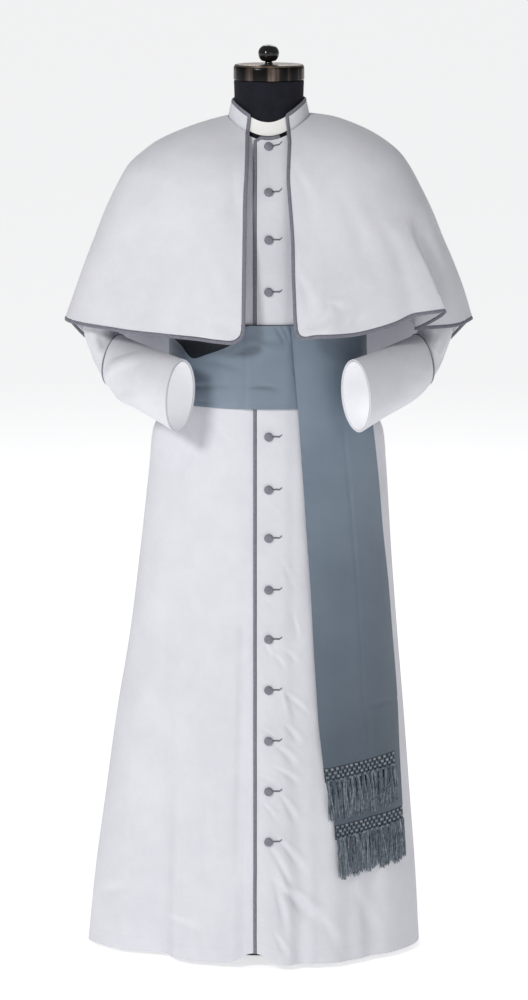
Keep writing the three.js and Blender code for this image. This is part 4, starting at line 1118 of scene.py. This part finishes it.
def build_cuff_piping(side):
    """A rounded binding round the cuff's upper edge."""
    word = side_word(side)
    steps = np.linspace(0, 1, 7)
    low = CUFF_START - sleeve_share(SLEEVE_ANGLES, CUFF_PIPING_GAP)
    high = CUFF_START - sleeve_share(SLEEVE_ANGLES, SEAM_GAP + PIPING_WIDTH)
    positions = high[None, :] + (low - high)[None, :] * steps[:, None]
    degrees = np.repeat(SLEEVE_ANGLES[None, :], len(steps), 0)
    rounding = 0.9 * np.sin(np.pi * steps)[:, None] - 0.9
    outside = sleeve_grid(degrees, positions, CUFF_GAP + PIPING_THICKNESS + rounding, side)
    inside = sleeve_grid(degrees, positions, np.full(degrees.shape, CUFF_GAP), side)
    piping = shell(f"piping_{word}_cloth", outside, inside, [MATERIALS["grey_piping"]], wrap=True)
    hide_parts(f"piping_cuff_{word}")


# Cape


def cape_columns():
    """Angles are measured from each front edge, then run round the back."""
    edge = np.concatenate([np.linspace(0, 0.12, 9), np.linspace(0.12, 1, 30)[1:-1]])
    thrown = np.linspace(CAPE_FRONT_ANGLE, CAPE_THROWN_ANGLE, 44)
    back = np.linspace(CAPE_THROWN_ANGLE, 360 - CAPE_FRONT_ANGLE, 120)[1:]
    sides = np.concatenate([np.ones(len(edge)), np.zeros(len(thrown) + len(back)), -np.ones(len(edge))])
    values = np.concatenate([edge, thrown, back, edge[::-1]])
    return sides, values


def cape_places():
    sides, values = cape_columns()
    upper = np.linspace(0, CAPE_THROW_TOP, 64)
    rows = np.concatenate([upper, np.linspace(CAPE_THROW_TOP, CAPE_HEM_ROW, 78)[1:]])
    fronts = ((1, "rightEdgeX", CAPE_FRONT_ANGLE), (-1, "leftEdgeX", -CAPE_FRONT_ANGLE))
    angles = np.zeros((len(rows), len(values)))
    positions = np.zeros(angles.shape)
    for side, name, meet in fronts:
        columns = sides == side
        share = values[columns]
        radius = CAPE_CORNER[side]
        along = np.minimum(share * CAPE_FRONT_WIDTH, radius)
        drop = radius - np.sqrt(np.clip(radius**2 - (radius - along) ** 2, 0, None))
        end = CAPE_HEM_ROW - drop / CAPE_ROW_HEIGHT
        above = np.minimum(rows, CAPE_CORNER_ROW)[:, None]
        below = np.clip(rows - CAPE_CORNER_ROW, 0, None)[:, None]
        positions[:, columns] = above + below * (end - CAPE_CORNER_ROW)[None, :]
        edge_x = CAPE_SECTIONS.read(name, positions[:, columns])
        edge = angle_at_x(cape_point, edge_x, positions[:, columns])
        angle = edge + (meet - edge) * share[None, :]
        angles[:, columns] = angle if side > 0 else angle + 360
    middle = sides == 0
    angles[:, middle] = values[middle][None, :]
    positions[:, middle] = rows[:, None]
    return angles, positions


def cape_relief(degrees, position):
    turned = np.mod(degrees + 90, 360) - 90
    z = cape_point(degrees, position)[..., 2]
    depth = crease_depth(CAPE_CREASES, turned, z, 0.25)
    depth = depth + soft_waves(turned * 4, z, 1.0, 190, 5)
    return depth * smooth_step(position, 1.0, 3.0)


def open_edge(grid):
    """The edge of an open grid: its first column, its last row, and its last column upward."""
    return np.concatenate([grid[:, 0], grid[-1, 1:-1], grid[:, -1][::-1]])


def build_cape():
    angles, positions = cape_places()
    bump = cape_relief(angles, positions)
    grids = [offset_point(cape_point, angles, positions, bump + d, 0.5) for d in (0.0, -WALL)]
    cape = shell("cape_cloth", *grids, [MATERIALS["white_cloth"]])
    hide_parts("cape")
    edges = [open_edge(grid) for grid in grids]
    binding = edge_binding("cape_binding", *edges, 1, CAPE_PIPING_GAP, MATERIALS["grey_piping"])
    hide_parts("piping_cape")


# Collar


def collar_grids(degrees, positions, insets):
    return [offset_point(collar_point, degrees, positions, np.full(degrees.shape, d)) for d in insets]


def build_collar():
    angles = np.linspace(COLLAR_END_ANGLE, 360 - COLLAR_END_ANGLE, 140)
    degrees, positions = np.meshgrid(angles, np.linspace(0, COLLAR_TOP_ROW, 14))
    grids = collar_grids(degrees, positions, (0.0, WALL))
    collar = shell("collar_cloth", *grids, [MATERIALS["white_cloth"]])
    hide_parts("collar")
    edges = [open_edge(grid) for grid in grids]
    binding = edge_binding("collar_binding", *edges, -1, PIPING_GAP, MATERIALS["grey_piping"])
    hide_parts("piping_collar")


def build_collar_tab():
    """The insert that shows between the collar's ends; its top edge is lowest at the middle."""
    angles = np.linspace(-TAB_END_ANGLE, TAB_END_ANGLE, 50)
    top = TAB_TOP_ROW - 0.15 * np.cos(np.radians(angles * 2))[None, :]
    positions = TAB_BOTTOM_ROW + (top - TAB_BOTTOM_ROW) * np.linspace(0, 1, 16)[:, None]
    degrees = np.repeat(angles[None, :], len(positions), 0)
    grids = collar_grids(degrees, positions, (TAB_INSET, TAB_INSET + TAB_WALL))
    tab = shell("tab_cloth", *grids, [MATERIALS["warm_white"]])
    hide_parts("collar_tab")


# Sash


def band_clearance(degrees, position):
    x = body_point(degrees, position)[..., 0]
    over = smooth_step(x, -46, -32) * (1 - smooth_step(x, PLACKET_LIFT_FULL_X + 4, PLACKET_LIFT_END_X))
    return BAND_GAP + over * (PIPING_THICKNESS * 0.5 + PLACKET_LIFT - WALL * 0.5)


def band_top(x):
    """The outer turn sags at the left of the front, and slopes a little at the right."""
    left = BAND_SAG.read("sag", BAND_SAG.position_of("x", np.clip(x, -168, -30)))
    right = 15 * smooth_step(x, 58, 70) * (1 - smooth_step(x, 90, 160) * 0.5)
    return BAND_TOP_Z - 1 - left - right


def band_angles():
    return np.concatenate([np.linspace(-75, 75, 150), np.linspace(75, 285, 104)[1:-1]])


def build_outer_turn():
    """The sash's outer turn, whose upper edge sags at the left."""
    angles = band_angles()
    shares = np.linspace(0, 1, 44)
    start = body_point(angles, np.full(angles.shape, BAND_MIDDLE_ROW))
    top = np.where(start[:, 1] < 0, band_top(start[:, 0]), BAND_TOP_Z - 1)
    heights = top[None, :] + (BAND_BOTTOM_Z - top)[None, :] * shares[:, None]
    positions = BODY_SECTIONS.position_of("frontZ", heights)
    degrees = np.repeat(angles[None, :], len(shares), 0)
    x = body_point(degrees, positions)[..., 0]
    front = smooth_step(np.cos(np.radians(degrees)), 0.05, 0.3)
    creases = crease_depth(BAND_CREASES, x, heights) * front
    # Painted shade in the band's creases, darker where a crease is deeper
    shade = np.clip(-0.16 * creases, 0, 0.4)
    bump = creases + 0.4 * soft_waves(degrees * 2.6, heights, 1.0, 70, 2)
    rolled_edge = 0.7 * smooth_step(shares, 0.055, 0.0)[:, None]
    bump = np.clip(bump, -1.0, 2.4) + rolled_edge + 0.9
    hem = -0.5 * np.exp(-(((heights - BAND_BOTTOM_Z - 9) / 2.2) ** 2))
    over = band_clearance(degrees, positions) + bump + hem
    outside = offset_point(body_point, degrees, positions, over + BAND_WALL - 0.3)
    inside = offset_point(body_point, degrees, positions, over + 0.2)
    satin = MATERIALS["slate_satin"]
    band = shell("band_outer_turn", outside, inside, [satin], wrap=True, painted_shade=shade)
    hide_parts("sash_band")


def build_inner_turn():
    """The inner turn, which shows above the outer one: painted near black as the cape's shadow, with a
    painted highlight on a small fold.
    """
    heights = BAND_TOP_Z - np.linspace(0, 1, 16) * INNER_TURN_HEIGHT
    degrees, positions = np.meshgrid(band_angles(), BODY_SECTIONS.position_of("frontZ", heights))
    clear = band_clearance(degrees, positions)
    outside = offset_point(body_point, degrees, positions, clear + 0.5)
    inside = offset_point(body_point, degrees, positions, clear - 0.7)
    # Painted highlight on a small fold; the rest of the turn is painted shade
    lit = np.exp(-(((outside[..., 0] + 161) / 6) ** 2))
    lit = lit * np.exp(-(((outside[..., 2] - 1092) / 14) ** 2))
    painted_shade = 0.93 - 0.7 * lit
    satin = MATERIALS["slate_satin"]
    inner = shell("band_inner_turn", outside, inside, [satin], wrap=True, painted_shade=painted_shade)


def tail_point(share, z, gap, distance, shift=0.0):
    """A place over the front of the body, by the share of the tail's width and the height."""
    position = BODY_SECTIONS.position_of("frontZ", z)
    row = TAIL_EDGES.position_of("z", z)
    surface = lambda u, v: offset_point(body_point, u, v, np.full(np.shape(u), float(gap)))
    left = angle_at_x(surface, TAIL_EDGES.read("leftX", row) + shift, position)
    right = angle_at_x(surface, TAIL_EDGES.read("rightX", row) + shift, position)
    angle = left + (right - left) * share
    over_band = smooth_step(z, BAND_BOTTOM_Z - 50, BAND_BOTTOM_Z - 10)
    extra = (band_clearance(angle, position) - BAND_GAP) * over_band
    return offset_point(body_point, angle, position, gap + distance + extra)


def tail_relief(share, z, crease):
    sway = smooth_step(-z, -900, -400)
    fold = 2.2 * np.exp(-(((share - 0.58) / 0.09) ** 2)) * sway
    groove = -1.5 * np.exp(-(((share - 0.585) / 0.022) ** 2)) * smooth_step(z, 960, 880)
    seam = -0.9 * np.exp(-(((z - 455) / 2.4) ** 2)) * smooth_step(share, 0.6, 0.64)
    pucker = np.sin(z * 0.21 + 1.3 * np.sin(z * 0.037)) * np.exp(-((share / 0.05) ** 2))
    edge = 0.7 * pucker * smooth_step(z, 960, 900) * smooth_step(z, 620, 720)
    across = share * TAIL_WIDTH
    low = soft_waves(across, z, 0.7, 130, 6)
    slant = np.exp(-(((across - 30 - (z - 620) * 0.24) / 9) ** 2))
    diagonal = 0.9 * slant * smooth_step(z, 900, 800)
    return crease * fold + groove + seam + edge + low * smooth_step(z, 980, 900) + diagonal * 0.8


def build_tail(word, tail, crease):
    """A hanging end of the sash; crease is 1 where a soft fold runs down it, or else 0."""
    shares = np.linspace(0, 1, 58)
    end = tail["left"] + (tail["right"] - tail["left"]) * shares
    down = np.linspace(0, 1, 150)[:, None]
    heights = TAIL_TOP_Z + (end[None, :] - TAIL_TOP_Z) * down
    share = np.repeat(shares[None, :], len(down), 0)
    shift = tail["shift"] * smooth_step(-heights, -900, -400)
    lowest, highest = (-1.2, 3.2) if crease else (-0.6, 0.8)
    relief = np.clip(tail_relief(share, heights, crease), lowest, highest)
    grids = [tail_point(share, heights, tail["gap"], relief + d, shift) for d in (TAIL_WALL, 0.0)]
    no_painted_shade = np.zeros(share.shape)
    made = shell(f"tail_{word}_cloth", *grids, [MATERIALS["slate_satin"]], painted_shade=no_painted_shade)
    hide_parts(f"sash_tail_{word}")


def tail_map(tail):
    """Places over a tail's lower end, read between the points of one grid."""
    cells = 40
    low = 120.0
    high = tail["right"] + 10.0
    shares, heights = np.meshgrid(np.linspace(0, 1, cells + 1), np.linspace(low, high, cells + 1))
    shift = float(tail["shift"])
    base = tail_point(shares, heights, tail["gap"], np.zeros(shares.shape), shift)
    outward = tail_point(shares, heights, tail["gap"], np.ones(shares.shape), shift) - base

    def put(share, z, lift):
        share, z = float_grids(share, z)
        across = np.clip(share, 0, 1) * cells
        up = np.clip((z - low) / (high - low), 0, 1) * cells
        i = np.clip(np.floor(up), 0, cells - 1).astype(int)
        j = np.clip(np.floor(across), 0, cells - 1).astype(int)
        t, u = (up - i)[..., None], (across - j)[..., None]
        mix = lambda grid: (
            (grid[i, j] * (1 - u) + grid[i, j + 1] * u) * (1 - t)
            + (grid[i + 1, j] * (1 - u) + grid[i + 1, j + 1] * u) * t
        )
        return mix(base) + mix(outward) * np.asarray(lift, float)[..., None]

    return put


def heading_cords(put, top, rng):
    """Rows of knots, each tied to the next row by two crossed cords."""
    cords = []
    knots = []
    half = 0.5 / FRINGE_LOCKS
    t = np.linspace(0, 1, 6)
    lift = 1.5 + 0.8 * np.sin(np.pi * t)
    for index in range(FRINGE_LOCKS):
        centre = (index + 0.5) / FRINGE_LOCKS
        aside = half if index < FRINGE_LOCKS - 1 else -half
        for level in range(KNOT_ROWS):
            z = top(centre) - KNOT_START - KNOT_ROW_STEP * level
            at = centre + aside * (level % 2)
            knots.append(knot_rings(put, at, z, 2.5 + 0.3 * rng.uniform(-1, 1)))
            if level == KNOT_ROWS - 1:
                continue
            for side in (-1, 1):
                end = np.clip(at + side * half, 0.01, 0.99)
                cord = put(at + (end - at) * t, z - KNOT_ROW_STEP * t, lift)
                cords.append(tube_rings(cord, 0.75, 5))
    return cords, knots


def tuft_strands(put, top, length, lean, rng):
    """The loose strands of each lock, dark and pale."""
    dark = []
    pale = []
    steps = np.linspace(0, 1, 9)
    radii = 0.78 * (1 - 0.55 * steps**3)
    for index in range(FRINGE_LOCKS):
        centre = (index + 0.5) / FRINGE_LOCKS
        sweep = lean(centre) + 0.012 * math.sin(index * 2.3)
        for _ in range(LOCK_STRANDS):
            start = centre + rng.normal(0, 0.008)
            spread = rng.normal(0, 0.026) + sweep
            curl = rng.normal(0, 0.013)
            reach = length * (0.95 - 0.06 * rng.random() - 0.03 * (index % 3))
            share = start + spread * steps**1.3 + curl * np.sin(steps * 5.3 + rng.uniform(0, 6))
            z = top(centre) - TUFT_START - (reach - TUFT_START) * steps
            arch = rng.uniform(0.2, 3.4) * np.sin(np.pi * np.minimum(steps + 0.15, 1))
            lift = 1.2 + arch + rng.uniform(0, 1)
            kind = pale if rng.random() < 0.3 else dark
            kind.append(tube_rings(put(np.clip(share, 0.0, 1.0), z, lift), radii, 4))
    return dark, pale


def build_fringe(word, tail, lean):
    """A knotted heading of crossed cords and a loose tuft of strands below each knot."""
    rng = np.random.default_rng(11 if word == "front" else 12)
    put = tail_map(tail)

    def top(share):
        return tail["left"] + (tail["right"] - tail["left"]) * share - SEAM_GAP

    shares, rows = np.meshgrid(np.linspace(0, 1, 40), np.linspace(0, 1, 5))
    heights = top(shares) - HEADING_DEPTH * rows
    faces = [put(shares, heights, np.full(shares.shape, lift)) for lift in (0.9, 0.0)]
    ground = shell(f"fringe_{word}_ground", *faces, [MATERIALS["fringe_dark"]])
    cords, knots = heading_cords(put, top, rng)
    dark, pale = tuft_strands(put, top, tail["fringe"], lean, rng)
    slate = [MATERIALS["slate_fringe"]]
    light = [MATERIALS["fringe_light"]]
    cord_piece = joined_rings(f"fringe_{word}_cords", cords, slate, 80)
    knot_piece = joined_rings(f"fringe_{word}_knots", knots, light, 80)
    tuft = joined_rings(f"fringe_{word}_dark_strands", dark, slate, 80)
    shine = joined_rings(f"fringe_{word}_pale_strands", pale, light, 80)
    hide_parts(f"fringe_{word}")


def knot_rings(put, share, z, radius):
    """A small round knot lying on the heading."""
    turns = np.radians(np.arange(8) * 45)
    rings = []
    for size, rise in ((0.7, 0.2), (1.0, 1.1), (0.85, 2.1), (0.35, 2.7)):
        shares = share + radius * size * np.cos(turns) / TAIL_WIDTH
        heights = z + radius * size * np.sin(turns)
        rings.append(put(shares, heights, np.full(8, 0.6 + rise)))
    return np.array(rings)


# Buttons and sewing


def surface_frames(x, z):
    """Seats on the lapped front: points, outward, crosswise and upward directions."""
    x, z = float_grids(x, z)
    position = BODY_SECTIONS.position_of("frontZ", z)
    angle = angle_at_x(body_point, x, position)
    relief = front_relief(angle, position)
    seat = lifted_body(angle, position, relief)
    outward = unit(lifted_body(angle, position, relief + 5) - seat)
    across = unit(np.cross(outward, np.array([0, 0, 1.0])))
    across *= np.sign(across[..., :1])
    up = np.cross(outward, across)
    up *= np.sign(up[..., 2:])
    return seat, outward, across, up


def build_button(number, seat, outward, across, up):
    """A covered button: a soft dome with a gathered rim."""
    turns = np.radians(np.arange(28) * 360 / 28)
    circle = np.cos(turns)[:, None] * across + np.sin(turns)[:, None] * up
    rings = []
    for share, rise in BUTTON_PROFILE:
        gathered = 1 + 0.014 * np.sin(turns * 9 + number) * (share > 0.9)
        radius = BUTTON_RADIUS * share * gathered
        centre = seat + outward * (BUTTON_GAP + BUTTON_RISE * rise)
        rings.append(centre + radius[:, None] * circle)
    name = f"covered_button_{number:02d}"
    made = joined_rings(name, [np.array(rings)], [MATERIALS["button_cloth"]], 70)
    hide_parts(f"button_{number:02d}")


def buttonhole_stitches():
    """Small close stitches along a line from under each button, hooked up at its end."""
    t = np.linspace(0.18, 1, BUTTONHOLE_STITCHES)[None, :]
    heights = np.array(BUTTON_HEIGHTS, float)[:, None]
    rise = 0.8 * np.sin(t * 3) + 3.2 * smooth_step(t, 0.82, 1.0)
    frames = surface_frames(BUTTON_X + BUTTONHOLE_END * t, heights + rise)
    stitches = []
    for seat, outward, across, up in zip(*(values.reshape(-1, 3) for values in frames)):
        tilt = up * 1.15 + across * 0.25
        low = seat + outward * 0.15
        high = seat + outward * 0.75
        ends = [low - tilt * 1.1, high - tilt * 0.4, high + tilt * 0.4, low + tilt * 1.1]
        stitches.append(tube_rings(ends, 0.5, 5))
    return stitches


def plain_body(degrees, position, distance):
    return offset_point(body_point, degrees, position, distance)


def hem_stitches():
    """A row of short stitches above the hem, round the front from side to side."""
    row = BODY_SECTIONS.position_of("frontZ", np.array([float(HEM_Z + HEM_STITCH_RISE)]))[0]
    stitches = []
    for start, end, place in ((-84, -10, plain_body), (-4, 84, lifted_body)):
        angles = np.arange(start, end, 0.9)
        position = np.full(angles.shape, row)
        firsts, lasts = (
            place(turned, position, front_relief(turned, position) + 0.05)
            for turned in (angles, angles + 0.55)
        )
        for first, last in zip(firsts, lasts):
            middle = (first + last) / 2 + [0, -0.12, 0]
            stitches.append(tube_rings([first, middle, last], 0.24, 4))
    return stitches


def build_sewing():
    holes = joined_rings("buttonhole_stitches", buttonhole_stitches(), [MATERIALS["button_cloth"]], 80)
    hem = joined_rings("hem_stitches", hem_stitches(), [MATERIALS["white_thread"]], 80)


# Dress form


def oval_ring(side_x, front_y, back_y, z, angles):
    turn = np.radians(angles)
    across, ahead = np.sin(turn), np.cos(turn)
    reach_x = np.where(across < 0, side_x - 1, side_x + 2)
    reach_y = np.where(ahead < 0, back_y, front_y)
    reach = 1 / np.sqrt((across / reach_x) ** 2 + (ahead / reach_y) ** 2)
    return np.stack([reach * across, -reach * ahead, np.full(angles.shape, float(z))], -1)


def oval_rings(levels):
    return [oval_ring(*level, FORM_ANGLES) for level in levels]


def build_cover():
    """The neck, the shoulders under the cloth and a short trunk, in one stretched cover."""
    rings = oval_rings(NECK_OVALS)
    around = np.zeros(FORM_SIDES)
    base = offset_point(collar_point, FORM_ANGLES, around, around + WALL + NECK_INSET)
    rings += [(rings[-1] + base) / 2, base]
    inward = around - WALL - REST_GAP
    for row in SHOULDER_ROWS:
        rings.append(offset_point(body_point, FORM_ANGLES, around + row, inward))
    for row in np.linspace(0, TRUNK_SECTIONS.last, 19):
        rings.append(point_on_section(TRUNK_SECTIONS, FORM_ANGLES, around + row))
    cover = joined_rings("form_cover", [np.array(rings)], [MATERIALS["dark_cloth"]])
    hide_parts("form_torso")


def build_cap():
    """A dark polished band with a bronze top."""
    band = np.array(oval_rings(CAP_BAND_OVALS))
    made = joined_rings("cap_band", [band], [MATERIALS["dark_metal"]], 60)
    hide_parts("form_neck_cap")
    top = np.array(oval_rings(CAP_TOP_OVALS))
    made = joined_rings("cap_top", [top], [MATERIALS["bronze_top"]], 60)


def build_knob():
    turns = np.radians(np.arange(48) * 7.5)
    rings = []
    for at in np.linspace(0, KNOB_PROFILE.last, 40):
        radius = KNOB_PROFILE.read("radius", at)
        height = np.full(len(turns), CAP_TOP_Z + KNOB_PROFILE.read("rise", at))
        rings.append(np.stack([KNOB_X + radius * np.cos(turns), radius * np.sin(turns), height], -1))
    made = joined_rings("knob_turned", [np.array(rings)], [MATERIALS["black_gloss"]], 60)
    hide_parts("form_knob")


def paint_base():
    """The base and the pole keep their solids and get finished surfaces."""
    for name in ("form_base", "form_pole"):
        made = NODES[name]
        made.data.materials.clear()
        made.data.materials.append(MATERIALS["black_paint"])


# Floor, world, lights and camera


def build_setting():
    mesh = bpy.data.meshes.new("pale_floor")
    places = ((-1, FLOOR_FRONT_Y), (1, FLOOR_FRONT_Y), (1, FLOOR_BACK_Y), (-1, FLOOR_BACK_Y))
    corners = [(side * FLOOR_HALF_WIDTH, y, FLOOR_Z) for side, y in places]
    mesh.from_pydata(corners, [], [(0, 1, 2, 3)])
    mesh.materials.append(floor_material())
    floor = bpy.data.objects.new("pale_floor", mesh)
    bpy.context.scene.collection.objects.link(floor)
    floor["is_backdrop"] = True
    world = bpy.data.worlds.new("pale_room")
    world.use_nodes = True
    world.node_tree.nodes["Background"].inputs["Color"].default_value = (0.93, 0.94, 0.96, 1)
    world.node_tree.nodes["Background"].inputs["Strength"].default_value = 0.3
    bpy.context.scene.world = world


def add_light(name, place, target, power, size):
    light = bpy.data.lights.new(name, "AREA")
    light.energy = power
    light.size = size
    made = bpy.data.objects.new(name, light)
    bpy.context.scene.collection.objects.link(made)
    made.location = place
    ahead = np.array(target) - np.array(place)
    flat = math.hypot(ahead[0], ahead[1])
    made.rotation_euler = (math.atan2(flat, -ahead[2]), 0, math.atan2(ahead[1], ahead[0]) - math.pi / 2)


def add_camera():
    data = bpy.data.cameras.new("camera")
    data.lens = CAMERA_LENS
    data.sensor_width = 36
    data.sensor_fit = "AUTO"
    camera = bpy.data.objects.new("camera", data)
    camera.location = CAMERA_PLACE
    camera.rotation_euler = (math.radians(90 - CAMERA_TILT), 0, 0)
    bpy.context.scene.collection.objects.link(camera)
    bpy.context.scene.camera = camera


def make_materials():
    slate = (0.045, 0.065, 0.085), (0.13, 0.165, 0.205)
    return {
        "white_cloth": cloth_material("white_cloth", (0.655, 0.655, 0.7), (0.745, 0.745, 0.785)),
        # A paler copy of the white cloth with a painted glow: painted light inside the sleeves and cuffs
        "white_lining_painted_glow": cloth_material("white_lining_painted_glow", (0.84, 0.84, 0.86), (0.9, 0.9, 0.92), painted_glow=True),
        "warm_white": cloth_material("warm_white", (0.84, 0.83, 0.8), (0.89, 0.88, 0.85)),
        "white_thread": cloth_material("white_thread", (0.6, 0.6, 0.66), (0.72, 0.72, 0.78)),
        "grey_piping": piping_material(),
        "button_cloth": fringe_material("button_cloth", (0.165, 0.165, 0.2), (0.215, 0.215, 0.255)),
        "slate_satin": satin_material(),
        "slate_fringe": fringe_material("slate_fringe", *slate),
        "fringe_light": fringe_material("fringe_light", (0.12, 0.15, 0.185), (0.3, 0.34, 0.385)),
        "fringe_dark": fringe_material("fringe_dark", (0.02, 0.028, 0.036), (0.04, 0.055, 0.07)),
        "dark_cloth": form_cloth_material(),
        "dark_metal": cap_metal_material(),
        "bronze_top": bronze_material(),
        "black_gloss": black_material("black_gloss", 0.14),
        "black_paint": black_material("black_paint", 0.45),
    }


for thing in list(bpy.data.objects):
    bpy.data.objects.remove(thing)
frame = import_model()
NODES = frame["nodes"]
bounds_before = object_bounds()
MATERIALS = make_materials()
build_under_front()
build_button_front()
build_back()
for side in (-1, 1):
    build_sleeve(side)
    build_cuff(side)
    build_cuff_piping(side)
build_cape()
build_collar()
build_collar_tab()
build_outer_turn()
build_inner_turn()
build_tail("rear", REAR_TAIL, 0)
build_tail("front", FRONT_TAIL, 1)
build_fringe("rear", REAR_TAIL, lambda share: 0.05 * (1 - share) ** 2)
build_fringe("front", FRONT_TAIL, lambda share: 0.012 - 0.02 * share)
for index, frames in enumerate(zip(*surface_frames(BUTTON_X, np.array(BUTTON_HEIGHTS)))):
    build_button(index + 1, *frames)
build_sewing()
build_cover()
build_cap()
build_knob()
paint_base()
build_setting()
add_light("key_light", (-3.0, -4.6, 3.6), (0, 0, 0.9), 150, 0.9)
add_light("fill_light", (2.4, -5.0, 2.2), (0, 0, 0.8), 14, 2.6)
add_light("back_light", (0.5, 4.5, 4.0), (0, 0, 1.0), 50, 2.4)
add_camera()
bpy.context.scene.view_settings.view_transform = "Standard"


def plain(bounds):
    """Bounds as plain lists of numbers."""
    if isinstance(bounds, dict):
        return {str(name): plain(value) for name, value in bounds.items()}
    if isinstance(bounds, (int, float, str)) or bounds is None:
        return bounds
    return [plain(value) for value in bounds]


{"cad": plain(bounds_before), "visual": plain(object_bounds())}
